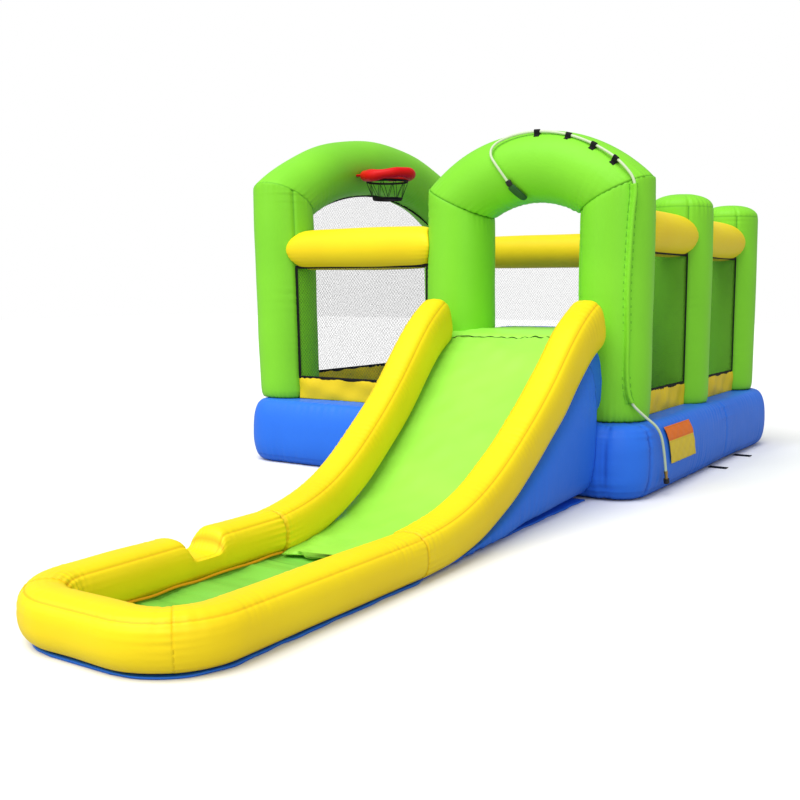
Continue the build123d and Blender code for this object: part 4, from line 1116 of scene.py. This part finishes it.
def pool_wall(name, stands_for, start, stop, seed, notch=False):
    """The rounded-box section carried between two places on the wall's line."""
    run = start + (stop - start) * rows_for(stop - start, 0.009)
    x, y = np.interp(run, rough_run, rough[:, 0]), np.interp(run, rough_run, rough[:, 1])
    ahead = 0.01
    way = np.stack([
        np.interp(run + ahead, rough_run, rough[:, 0]) - np.interp(run - ahead, rough_run, rough[:, 0]),
        np.interp(run + ahead, rough_run, rough[:, 1]) - np.interp(run - ahead, rough_run, rough[:, 1]),
    ], axis=1)
    way = unit(way)
    outside = np.stack([-way[:, 1], way[:, 0]], axis=1)
    theta = around[None, :]
    boxy = (np.abs(np.cos(theta)) ** 2.5 + np.abs(np.sin(theta)) ** 2.5) ** (-1 / 2.5)
    distance = run[:, None]
    to_end = np.minimum(distance - start, stop - distance)
    pinch = 1 - 0.004 * np.exp(-to_end / 0.004)
    wide = ring_half_wide * 0.98 * boxy * np.cos(theta) * pinch
    tall = ring_half_tall * 0.98 * boxy * np.sin(theta) * pinch
    if notch:
        away = (y - NOTCH_AT)[:, None]
        dip = 1 / (1 + np.exp((np.abs(away) - NOTCH_HALF) / 0.009))
        tall = np.where(tall > 0, tall * (1 - 0.95 * dip), tall)
        wide = wide * (1 - 0.05 * dip)
    points = np.stack([
        x[:, None] + outside[:, :1] * wide,
        y[:, None] + outside[:, 1:] * wide,
        RING_MIDDLE + tall,
    ], axis=-1)
    skin = 0.12 * theta
    fold = dents(points, 0.3, 0.004, seed)
    seam = 0.5 * thread(to_end, 0.0035) * np.clip(0.25 + np.sin(theta), 0, 1)
    for number, angle in enumerate((0.80, PI - 0.80)):
        away_seam = turn_to(theta, angle, 0.12)
        fold = fold + gathers(away_seam, distance, 0.035, 0.03, 0.003, seed + 1 + number)
        fold = fold + valley(away_seam, 0.009, 0.003)
        seam = seam + 0.9 * thread(away_seam, 0.0035)
    fold = fold + gathers(to_end, skin, 0.08, 0.030, 0.003, seed + 5)
    in_corner = np.exp(-(np.minimum(np.abs(distance - mitre_first),
                                    np.abs(distance - mitre_last)) / 0.2) ** 2)
    inner_side = np.clip(-np.cos(theta), 0, 1)
    below_seam = np.abs(turn_to(theta, 0.80, 0.12))
    fold = fold + in_corner * gathers(below_seam, distance, 0.06, 0.017, 0.0045, seed + 6)
    fold = fold + in_corner * inner_side * gathers(turn_to(theta, PI - 0.8, 0.12), distance,
                                                   0.09, 0.040, 0.007, seed + 7)
    fold = fold - in_corner * inner_side * 0.006
    if notch:
        rim = np.abs(np.abs(away) - NOTCH_HALF)
        fold = fold + np.clip(np.sin(theta), 0, 1) * gathers(rim, skin, 0.05, 0.024, 0.005, seed + 9)
        seam = seam + 0.8 * thread(rim, 0.004) * np.clip(np.sin(theta) * 2, 0, 1)
    points = pushed(points, fold)
    points[..., 2] = np.maximum(points[..., 2], right_low[2] + 0.0005)
    return piece(name, [dict(points=points, seam=np.clip(seam, 0, 1))], yellow_cloth,
                 [stands_for])


pool_wall("wall_right", "pool_right_wall", 0.001, mitre_first + 0.0015, 401)
pool_wall("wall_front", "pool_front_wall", mitre_first - 0.0015, mitre_last + 0.0015, 411)
pool_wall("wall_left", "pool_left_wall", mitre_last - 0.0015, rough_run[-1] - 0.001, 421, True)


# %% Pool floor and ground sheet
def thin_sheet(shape, top_z, thickness, folds, columns=160, rows=160):
    """A closed thin sheet: a folded top surface and the same surface a thickness lower."""
    u = np.linspace(0, 1, rows)[:, None]
    v = np.linspace(0, 1, columns)[None, :]
    x, y = shape(u, v)
    top = np.stack([x, y, top_z + 0 * x], axis=-1)
    top[..., 2] += folds(top)
    under = top[::-1].copy()
    under[..., 2] -= thickness
    return np.concatenate([top, under]).transpose(1, 0, 2)


def pool_floor_folds(points):
    """Long soft folds across the pool, and short ones by its walls."""
    wall = np.minimum(points[..., 0] - x_left - 0.09, x_right - 0.09 - points[..., 0])
    fold = 0.006 * np.sin(points[..., 1] * 17 + 2.2 * points[..., 0])
    fold = fold + dents(points * (0.5, 1, 1), 0.12, 0.005, 431)
    return fold + gathers(np.maximum(wall, 0), points[..., 1], 0.09, 0.05, 0.004, 432)


_, low, high = middle_of("pool_floor")
FLOOR_BACK = -1.68


def round_front(y, first, radius):
    """How far a sheet's side draws in near its front edge, to round its corner."""
    dip = np.clip(radius - (y - first), 0, radius)
    return radius - np.sqrt(np.maximum(radius ** 2 - dip ** 2, 0))


def pool_floor_shape(u, v):
    """Under the walls' inner halves, with round front corners, and back beneath the bed's hem."""
    first = y_front - 0.02
    y = first + (FLOOR_BACK - first) * v
    draw = round_front(y, first, CORNER)
    left = np.maximum(x_left + 0.02, slide_left(y) + 0.13 * (y > SLIDE_FOOT)) + draw
    right = np.minimum(x_right - 0.02, slide_right(y) - 0.13 * (y > SLIDE_FOOT)) - draw
    return left + (right - left) * u, y + 0 * u


def pool_floor_rise(points):
    """The folds, on a floor that climbs a little with the slide behind the pool."""
    climb = np.maximum(bed_height(np.clip(points[..., 1], SLIDE_FOOT, 0)) - 0.040 - high[2], 0)
    return pool_floor_folds(points) * np.clip((SLIDE_FOOT - points[..., 1]) / 0.12, 0.1, 1) + climb


floor_points = thin_sheet(pool_floor_shape, high[2], 0.004, pool_floor_rise)
pool_floor = piece("pool_bottom", [dict(points=floor_points)], floor_cloth, ["pool_floor"])
inner_foot = np.linspace(y_front + 0.10, y_back - 0.02, 160)[:, None]
turn = circle(8)
welt_points = np.stack([x_left + 0.094 + 0.004 * np.cos(turn) + 0.002 * np.sin(inner_foot * 31),
                        inner_foot + 0 * turn,
                        high[2] + 0.015 + 0.006 * np.sin(turn) + 0.002 * np.sin(inner_foot * 23)],
                       axis=-1)
orange_welt = cloth("orange_welt", (236, 160, 20), (200, 120, 10))
piece("pool_welt", [dict(points=welt_points)], orange_welt)

_, low, high = middle_of("ground_sheet")
TUCK, SLIDE_TUCK = 0.048, 0.10


def ground_shape(u, v):
    """The sheet's outline: as wide as the pool and slide above it, and round at the corners."""
    first = y_front - RAIL_HALF + TUCK
    y = first + (high[1] - first) * v
    tuck = TUCK + (SLIDE_TUCK - TUCK) * np.clip((y - SLIDE_FOOT) / 0.3, 0, 1)
    left = np.where(y < SLIDE_FOOT, left_low[0], slide_left(y)) + tuck
    right = np.where(y < SLIDE_FOOT, right_high[0], slide_right(y)) - tuck
    round_in = round_front(y, first, CORNER + RAIL_HALF - TUCK)
    wobble = 0.003 * np.sin(y * 19) + 0.002 * np.sin(y * 41)
    left, right = left + round_in + wobble, right - round_in - wobble
    return left + (right - left) * u, y + 0 * u


ground = thin_sheet(ground_shape, 0.0072, 0.0062, lambda p: 0.0006 * np.sin(p[..., 1] * 37),
                    columns=260, rows=60)
ground_piece = piece("under_sheet", [dict(points=ground)], blue_cloth, ["ground_sheet"])
stations = np.linspace(0, 1, 200)[None, :]
left_edge, along = ground_shape(0.0, stations)
sheet_width = (ground_shape(1.0, stations)[0] - left_edge)[0]
strips = np.diff(along[0]) * (sheet_width[1:] + sheet_width[:-1]) / 2
float(np.ptp(along))
print("pool and sheets done")


# %% [markdown]
# ## Hoop
# The ball hoop is a small red inflated ring that sags between the points where it is sewn,
# with a short black net below it.

# %% Hoop ring, net and straps
centre, low, high = middle_of("hoop_ring")
ring_radius, tube_radius = (high[0] - low[0]) / 2 - 0.036, 0.036
phi = np.linspace(0, 2 * PI, 150)[:, None]
theta = circle(48)
tube = tube_radius * (1 + 0.07 * np.sin(3 * phi + 1) + 0.05 * np.sin(7 * phi))
rise = 0.012 * np.cos(2 * phi + 0.7) + 0.010 * np.sin(phi - 0.4)
level = ring_radius - 0.004 + 0.006 * np.sin(3 * phi) + tube * np.cos(theta)
ring_points = np.stack([centre[0] + level * np.cos(phi), centre[1] + level * np.sin(phi),
                        centre[2] + rise + 1.05 * tube * np.sin(theta)], axis=-1)
inner = turn_to(theta, PI, 0.036)
ring_fold = gathers(inner, ring_radius * phi, 0.03, 0.028, 0.005, 501)
ring_seam = thread(turn_to(theta, PI + 0.5, 0.036), 0.003) + 0 * phi
piece("ring", [dict(points=pushed(ring_points, ring_fold * (1 - np.cos(phi)) ** 0.3),
                    seam=ring_seam, open_ends=True)], red_cloth, ["hoop_ring"])


def cone_put(bottom_share, top_z, length):
    """Places (round, down) points on a cone that narrows from the ring to its foot."""
    def put(turn, down, out):
        radius = (ring_radius - 0.012) * (1 - (1 - bottom_share) * down / length) + out
        return np.stack([centre[0] + radius * np.cos(turn), centre[1] + radius * np.sin(turn),
                         top_z - down + 0 * turn], axis=-1)
    return put


net_high = middle_of("hoop_net")[2]
net_length = 0.150
hang = cone_put(0.66, net_high[2] - 0.002, net_length)
bands = []
for down, width in ((0.012, 0.016), (net_length - 0.010, 0.018)):
    turn = np.linspace(0, 2 * PI, 90)[:, None]
    section = circle(8)
    bands.append(dict(points=hang(turn + 0 * section, down + width / 2 * np.sin(section),
                                  0.002 * np.cos(section)), open_ends=True))
for number in range(10):
    down = np.linspace(0.008, net_length - 0.006, 24)[:, None]
    section = circle(8)
    for slant in (-1, 1):
        turn = number * PI / 5 + slant * 0.314 * down / net_length
        bands.append(dict(points=hang(turn + 0.016 * np.cos(section), down + 0 * section,
                                      0.0018 * np.sin(section))))
piece("ring_net", bands, black_webbing, ["hoop_net"])
_, strap_low, strap_high = middle_of("hoop_straps")
patches = []
for side in (-1, 1):
    y_mid = (strap_low[1] + strap_high[1]) / 2 + side * 0.07
    run = np.linspace(0, 1, 24)[:, None]
    section = circle(24)
    x = strap_low[0] - 0.012 + run * (strap_high[0] - strap_low[0] + 0.03) + 0 * section
    half = 0.022 + 0.004 * np.cos(2 * PI * run)
    patches.append(dict(points=np.stack([
        x, y_mid + half * np.cos(section) + 0 * run,
        strap_low[2] + 0.006 + 0.010 * np.sin(section) + 0 * run], axis=-1)))
piece("ring_straps", patches, red_cloth, ["hoop_straps"])


# %% [markdown]
# ## Water hose
# A pale hose feeds the sprayer. It climbs the arch's right leg in a sewn sleeve, passes
# under four loops on the crown and ends in the sprayer; its foot has a garden hose collar.
# The route is a smooth curve through a few control points.

# %% Hose route
X0, Y0 = 0.675, 0.286        # the middle of the slide arch, from above
CROWN_TOP = 1.925            # the crown's middle line at its highest
CLEAR = 0.018                # the hose's middle line above the skin


def on_crown(along, around_tube, lift):
    """A point over the slide arch's crown: degrees along it and round it, and a lift."""
    along, around_tube = math.radians(along), math.radians(around_tube)
    reach = SLIDE_TUBE + lift
    level = slide_bend + reach * math.cos(around_tube)
    return (X0 + level * math.sin(along), Y0 - reach * math.sin(around_tube),
            CROWN_TOP - slide_bend + level * math.cos(along))


def on_leg(around_tube, z, lift):
    """A point beside the slide arch's right leg."""
    around_tube = math.radians(around_tube)
    reach = SLIDE_TUBE + lift
    return (X0 + SLIDE_HALF + reach * math.cos(around_tube), Y0 - reach * math.sin(around_tube), z)


base_side = 0.823 + 0.015
route = [
    on_crown(-7.0, 112, CLEAR + 0.006), on_crown(-10.5, 88, CLEAR + 0.008),
    on_crown(-13.5, 66, CLEAR + 0.008), on_crown(-11.5, 47, CLEAR + 0.008),
    on_crown(-2.5, 33, CLEAR + 0.004), on_crown(9.0, 29, CLEAR), on_crown(20.0, 33, CLEAR),
    on_crown(30.5, 38, CLEAR + 0.006), on_crown(38.5, 43, CLEAR + 0.016),
    on_leg(44, 1.785, CLEAR + 0.014), on_leg(48, 1.605, CLEAR + 0.002),
    on_leg(50, 1.400, CLEAR - 0.002), on_leg(52, 1.170, CLEAR - 0.003),
    on_leg(50, 0.940, CLEAR - 0.004), on_leg(51, 0.720, CLEAR - 0.004), on_leg(47, 0.560, CLEAR),
    (X0 + base_side - 0.084, Y0 - 0.128, 0.476), (X0 + base_side - 0.006, Y0 - 0.076, 0.402),
    (X0 + base_side + 0.004, Y0 - 0.018, 0.265), (X0 + base_side + 0.004, Y0 + 0.020, 0.130),
]
hose_curve = bpy.data.curves.new("hose", "CURVE")
hose_curve.dimensions = "3D"
spline = hose_curve.splines.new("NURBS")
spline.points.add(len(route) - 1)
for point, place_here in zip(spline.points, route):
    point.co = (*place_here, 1)
spline.order_u = 3
spline.use_endpoint_u = True
spline.resolution_u = 10
line_object = bpy.data.objects.new("line", hose_curve)
line_mesh = bpy.data.meshes.new_from_object(line_object)
hose_line = np.array([vertex.co for vertex in line_mesh.vertices])
hose_curve.bevel_depth = 0.008
hose_curve.bevel_resolution = 5
hose_curve.use_fill_caps = True
hose_mesh = bpy.data.meshes.new_from_object(line_object)
hose_mesh.name = "hose"
hose = bpy.data.objects.new("hose", hose_mesh)
scene.collection.objects.link(hose)
bpy.data.objects.remove(line_object)
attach(hose, "root")
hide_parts("water_hose")
print("hose", round(float(np.linalg.norm(np.diff(hose_line, axis=0), axis=1).sum()), 3), "m")


# %% Plastic, metal and sprayer finishes
def moulded(name, colour, roughness=0.45, metallic=0.0, grain=260.0, depth=0.12, coat=0.0):
    """Plastic or metal: a fine grain in the bump, and a colour and gloss that drift a little."""
    material = bpy.data.materials.new(name)
    material.use_nodes = True
    tree = material.node_tree
    shader = tree.nodes["Principled BSDF"]
    shader.inputs["Metallic"].default_value = metallic
    shader.inputs["Coat Weight"].default_value = coat
    where = node(tree, "ShaderNodeTexCoord")
    fine = node(tree, "ShaderNodeTexNoise", Scale=grain, Detail=3.0)
    broad = node(tree, "ShaderNodeTexNoise", Scale=9.0, Detail=4.0)
    tree.links.new(where.outputs["Object"], fine.inputs["Vector"])
    tree.links.new(where.outputs["Object"], broad.inputs["Vector"])
    mix = node(tree, "ShaderNodeMix", data_type="RGBA")
    mix.inputs[6].default_value = linear(*[value * 0.88 for value in colour])
    mix.inputs[7].default_value = linear(*colour)
    tree.links.new(broad.outputs["Fac"], mix.inputs["Factor"])
    tree.links.new(mix.outputs[2], shader.inputs["Base Color"])
    gloss = node(tree, "ShaderNodeMath", operation="MULTIPLY_ADD")
    gloss.inputs[1].default_value = 0.2
    gloss.inputs[2].default_value = roughness - 0.1
    tree.links.new(broad.outputs["Fac"], gloss.inputs[0])
    tree.links.new(gloss.outputs[0], shader.inputs["Roughness"])
    bump = node(tree, "ShaderNodeBump", Distance=0.0006, Strength=depth)
    tree.links.new(fine.outputs["Fac"], bump.inputs["Height"])
    tree.links.new(bump.outputs["Normal"], shader.inputs["Normal"])
    return material


hose_plastic = moulded("hose_plastic", (214, 232, 190), 0.35, grain=120.0)
blower_plastic = moulded("blower_plastic", (232, 120, 24), 0.42, depth=0.2)
black_plastic = moulded("black_plastic", (28, 29, 31), 0.5, depth=0.2)
rocker_plastic = moulded("rocker_plastic", (188, 22, 18), 0.35)
plated_steel = moulded("plated_steel", (176, 178, 182), 0.32, 1.0, 500.0)
turned_brass = moulded("turned_brass", (196, 158, 84), 0.3, 1.0, 400.0)
sprayer_mesh = cloth("sprayer_mesh", (50, 96, 52), (20, 44, 24), 0.5, 260.0, 0.8)
hose_mesh.materials.append(hose_plastic)

# %% [markdown]
# ## Finishes on the frame's own pieces
# The blower, its guard and wheel, the zipper, the stake tabs and the hose coupling keep the
# frame's exact shape, because it is already right: they only get a better material.

# %% Give materials to kept nodes
kept = {
    "blower_case_left": blower_plastic, "blower_case_right": blower_plastic,
    "inlet_grille": black_plastic, "blower_stand": black_plastic, "impeller": black_plastic,
    "motor": plated_steel, "motor_shaft": plated_steel, "switch_rocker": rocker_plastic,
    "coupling_tail": turned_brass, "coupling_collar": black_plastic,
    "zipper_slider": plated_steel, "anchor_tabs": black_webbing, "sleeve_strap": black_webbing,
}
for name, material in kept.items():
    nodes[name].data.materials.clear()
    nodes[name].data.materials.append(material)
print("kept nodes", len(kept))


# %% Sprayer
def pouch(name, start, stop, half_width, half_thick, material, stands_for=()):
    """A flattened tube on the crown between two (along, round) places in degrees."""
    share = np.linspace(0, 1, 40)
    ends = np.array([start, stop])
    degrees = ends[0] + (ends[1] - ends[0]) * share[:, None]
    line = np.array([on_crown(along, round_tube, half_thick + 0.003) for along, round_tube in degrees])
    inner = np.array([on_crown(along, round_tube, 0.0) for along, round_tube in degrees])
    normal = line - inner
    normal = unit(normal)
    way = np.gradient(line, axis=0)
    side = np.cross(way, normal)
    side = unit(side)
    turn = circle(48)
    swell = (1 - 0.3 * np.abs(2 * share - 1) ** 6)[:, None]
    across = half_width * swell * np.cos(turn)
    out = half_thick * swell * np.sin(turn)
    points = line[:, None] + side[:, None] * across[..., None] + normal[:, None] * out[..., None]
    edge = thread(np.abs(np.cos(turn)) - 0.96, 0.03) + 0 * share[:, None]
    return piece(name, [dict(points=points, seam=edge)], material, stands_for)


pouch("spray_pouch", (-6.6, 121), (-1.6, 149), 0.026, 0.012, sprayer_mesh, ["spray_head"])
pouch("spray_neck", (-7.1, 112), (-6.4, 121), 0.019, 0.0125, black_plastic)


# %% Sleeve and loops over the hose
def surface_of_arch(points, lift):
    """Puts points that lie near the arch's skin on it, a lift above: crown above, leg below."""
    points = points.copy()
    bend_z = CROWN_TOP - slide_bend
    level = np.hypot(points[..., 0] - X0, points[..., 2] - bend_z)
    angle = np.arctan2(points[..., 0] - X0, points[..., 2] - bend_z)
    radial = np.stack([level - slide_bend, points[..., 1] - Y0], axis=-1)
    size = np.linalg.norm(radial, axis=-1)
    radial *= ((SLIDE_TUBE + lift) / size)[..., None]
    over = np.stack([X0 + (slide_bend + radial[..., 0]) * np.sin(angle), Y0 + radial[..., 1],
                     bend_z + (slide_bend + radial[..., 0]) * np.cos(angle)], axis=-1)
    flat = points[..., :2] - (X0 + SLIDE_HALF, Y0)
    flat = flat / np.linalg.norm(flat, axis=-1, keepdims=True)
    beside = points.copy()
    beside[..., :2] = (X0 + SLIDE_HALF, Y0) + flat * (SLIDE_TUBE + np.asarray(lift))[..., None]
    return over, beside


def cover(centre_line, half_width, material, name, stands_for, on_the_leg):
    """A strip of cloth over the hose: level on the arch at its edges, humped over the hose."""
    grids = []
    for line in centre_line:
        way = np.gradient(line, axis=0)
        way = unit(way)
        over, beside = surface_of_arch(line, np.zeros(len(line)))
        skin = beside if on_the_leg else over
        normal = line - skin
        tall = np.linalg.norm(normal, axis=1, keepdims=True)
        normal /= tall
        side = np.cross(way, normal)
        side = unit(side)
        turn = circle(48)
        spread = half_width * np.sign(np.cos(turn)) * np.abs(np.cos(turn)) ** 0.8
        flat = line[:, None] + side[:, None] * spread[..., None]
        hump = (tall + 0.0115) * np.exp(-(spread / 0.0135) ** 4)
        lift = np.where(np.sin(turn) > 0, hump + 0.003, np.maximum(hump - 0.004, -0.004))
        lift = np.broadcast_to(lift, flat.shape[:2])
        over, beside = surface_of_arch(flat, lift)
        shaped = beside if on_the_leg else over
        along = lengths_along(line)
        ripple = 0.0016 * np.sin(along * 140)[:, None] * (np.abs(spread) > 0.012)
        shaped = shaped + normal[:, None] * ripple[..., None]
        stitch = thread(np.abs(spread) - half_width * 0.82, 0.003) + 0 * along[:, None]
        grids.append(dict(points=shaped, seam=np.clip(stitch, 0, 1)))
    return piece(name, grids, material, stands_for)


run = lengths_along(hose_line)


def stretch(start, stop, count):
    """Points of the hose's middle line between two places along it."""
    at = np.linspace(start, stop, count)
    return np.stack([np.interp(at, run, hose_line[:, axis]) for axis in range(3)], axis=1)


leg_start = run[np.argmax((hose_line[:, 2] < 1.785) & (hose_line[:, 0] > X0 + 0.6))]
leg_stop = run[np.argmax((hose_line[:, 2] < 0.56) & (hose_line[:, 0] > X0 + 0.6))]
cover([stretch(leg_start, leg_stop, 170)], 0.030, green_cloth, "hose_sleeve", ["hose_sleeves"],
      True)
loop_middles = [(np.array(route[n]) + np.array(route[n + 1])) / 2 for n in (4, 5, 6, 7)]
loop_lines = []
for middle in loop_middles:
    at = run[np.argmin(np.linalg.norm(hose_line - middle, axis=1))]
    loop_lines.append(stretch(at - 0.017, at + 0.017, 14))
cover(loop_lines, 0.034, black_webbing, "crown_loops", ["hose_loops"], False)

# %% [markdown]
# ## Small trim
# A sewn label without any writing, a zipper with its tape, and the gathered sleeve that the
# blower's tube pushes air through.

# %% Label
label_orange = cloth("label_orange", (240, 124, 40), (206, 88, 20), 0.5, 700.0, 0.4)
label_yellow = cloth("label_yellow", (232, 206, 60), (190, 158, 30), 0.5, 700.0, 0.4)
_, low, high = middle_of("safety_label")
base_high = middle_of("base_mattress")[2]


def on_base(y, z, lift):
    """Points on the mattress's right side, found from the barrel profile at each height."""
    inset, height = barrel(BASE_FOOT, base_high[2] - 0.002, BASE_BULGE, BASE_EDGE)
    x = base_high[0] - SIDE_INSET - np.interp(z, height, inset)
    return np.stack([x + lift + 0 * y, y + 0 * z, z + 0 * y], axis=-1)


def label_part(name, z0, z1, material, stands_for):
    """A rectangle of cloth that follows the mattress's side, doubled to a thin closed sheet."""
    u, v = np.linspace(0, 1, 60)[:, None], np.linspace(0, 1, 90)[None, :]
    y, z = low[1] + (high[1] - low[1]) * v + 0 * u, z0 + (z1 - z0) * u + 0 * v
    lift = 0.013 + 0.0015 * np.sin(y * 60) * np.sin(z * 80)
    askew = y + LABEL_SKEW * ((low[2] + high[2]) / 2 - z)
    outer = on_base(askew, z, lift)
    under = on_base(askew, z, lift - 0.0015)[::-1]
    border = np.minimum(np.minimum(y - low[1], high[1] - y), np.minimum(z - z0, z1 - z))
    seam = 0.5 * thread(border - 0.008, 0.003)
    points = np.concatenate([outer, under]).transpose(1, 0, 2)
    made = piece(name, [dict(points=points, seam=np.concatenate([seam, 0 * seam]).T)], material,
                 stands_for)


LABEL_SKEW = 0.32
low, high = low + (0, -0.008, 0.040), high + (0, 0.008, 0.052)
split_z = low[2] + 0.62 * (high[2] - low[2])
label_part("label_lower", low[2], split_z, label_yellow, ["safety_label"])
label_part("label_upper", split_z, high[2], label_orange, [])

# %% Zipper tape and inlet sleeve
_, low, high = middle_of("zipper_tape")
x = np.linspace(low[0], high[0], 168)[:, None]
turn = circle(32)
teeth = 0.0016 * (np.sin(x * 2 * PI / 0.005) > 0) * (np.abs(np.cos(turn)) < 0.25)
tape_points = np.stack([
    x + 0 * turn,
    (low[1] + high[1]) / 2 + 0.0013 * np.sin(turn) + teeth * np.sign(np.sin(turn)) + 0 * x,
    (low[2] + high[2]) / 2 + (high[2] - low[2]) / 2 * np.cos(turn) + 0 * x], axis=-1)
piece("tape", [dict(points=tape_points)], black_webbing, ["zipper_tape"])

_, low, high = middle_of("inlet_sleeve")
centre = middle_of("inlet_sleeve")[0]
strap_middle = middle_of("sleeve_strap")[0][1]
y = np.linspace(low[1] - 0.03, high[1], 90)[:, None]
theta = circle(150)
to_strap = y - strap_middle
swell = 0.006 * np.exp(-((y - low[1] - 0.07) / 0.06) ** 2)
radius = 0.0785 + swell
fold = gathers(to_strap, 0.079 * theta, 0.07, 0.022, 0.0038, 601)
fold = fold * np.clip(np.abs(to_strap) / 0.016, 0, 1)
radius = radius + np.maximum(fold, -0.0012)
outer = np.stack([centre[0] + radius * np.cos(theta), y + 0 * theta,
                  centre[2] + radius * np.sin(theta)], axis=-1)
inner_radius = 0.0764 + swell * 0.9
inner = np.stack([centre[0] + inner_radius * np.cos(theta), y + 0 * theta,
                  centre[2] + inner_radius * np.sin(theta)], axis=-1)
tube_grid = np.concatenate([outer, inner[::-1], outer[:1]])
piece("air_sleeve", [dict(points=tube_grid, open_ends=True)], blue_cloth,
      ["inlet_sleeve"])

# %% [markdown]
# ## The floor
# The house stands on a plain pale floor, which isn't part of it. It looks white, but it
# throws less light up than a white floor would, so that the tubes stay darker underneath.

# %% Floor
floor_mesh = bpy.data.meshes.new("floor")
FLOOR = 30.0
corners = [(-FLOOR, -FLOOR, -0.001), (FLOOR, -FLOOR, -0.001), (FLOOR, FLOOR, -0.001),
           (-FLOOR, FLOOR, -0.001)]
floor_mesh.from_pydata(corners, [], [(0, 1, 2, 3)])
floor = bpy.data.objects.new("floor", floor_mesh)
scene.collection.objects.link(floor)
pale = bpy.data.materials.new("pale_floor")
pale.use_nodes = True
shader = pale.node_tree.nodes["Principled BSDF"]
shader.inputs["Base Color"].default_value = (0.96, 0.96, 0.96, 1)
shader.inputs["Roughness"].default_value = 0.95
shader.inputs["Specular IOR Level"].default_value = 0.0
dimmer = pale.node_tree.nodes.new("ShaderNodeBsdfDiffuse")
dimmer.inputs["Color"].default_value = (0.5, 0.5, 0.5, 1)
show_apart(pale.node_tree, dimmer, shader, "Material Output")
floor_mesh.materials.append(pale)
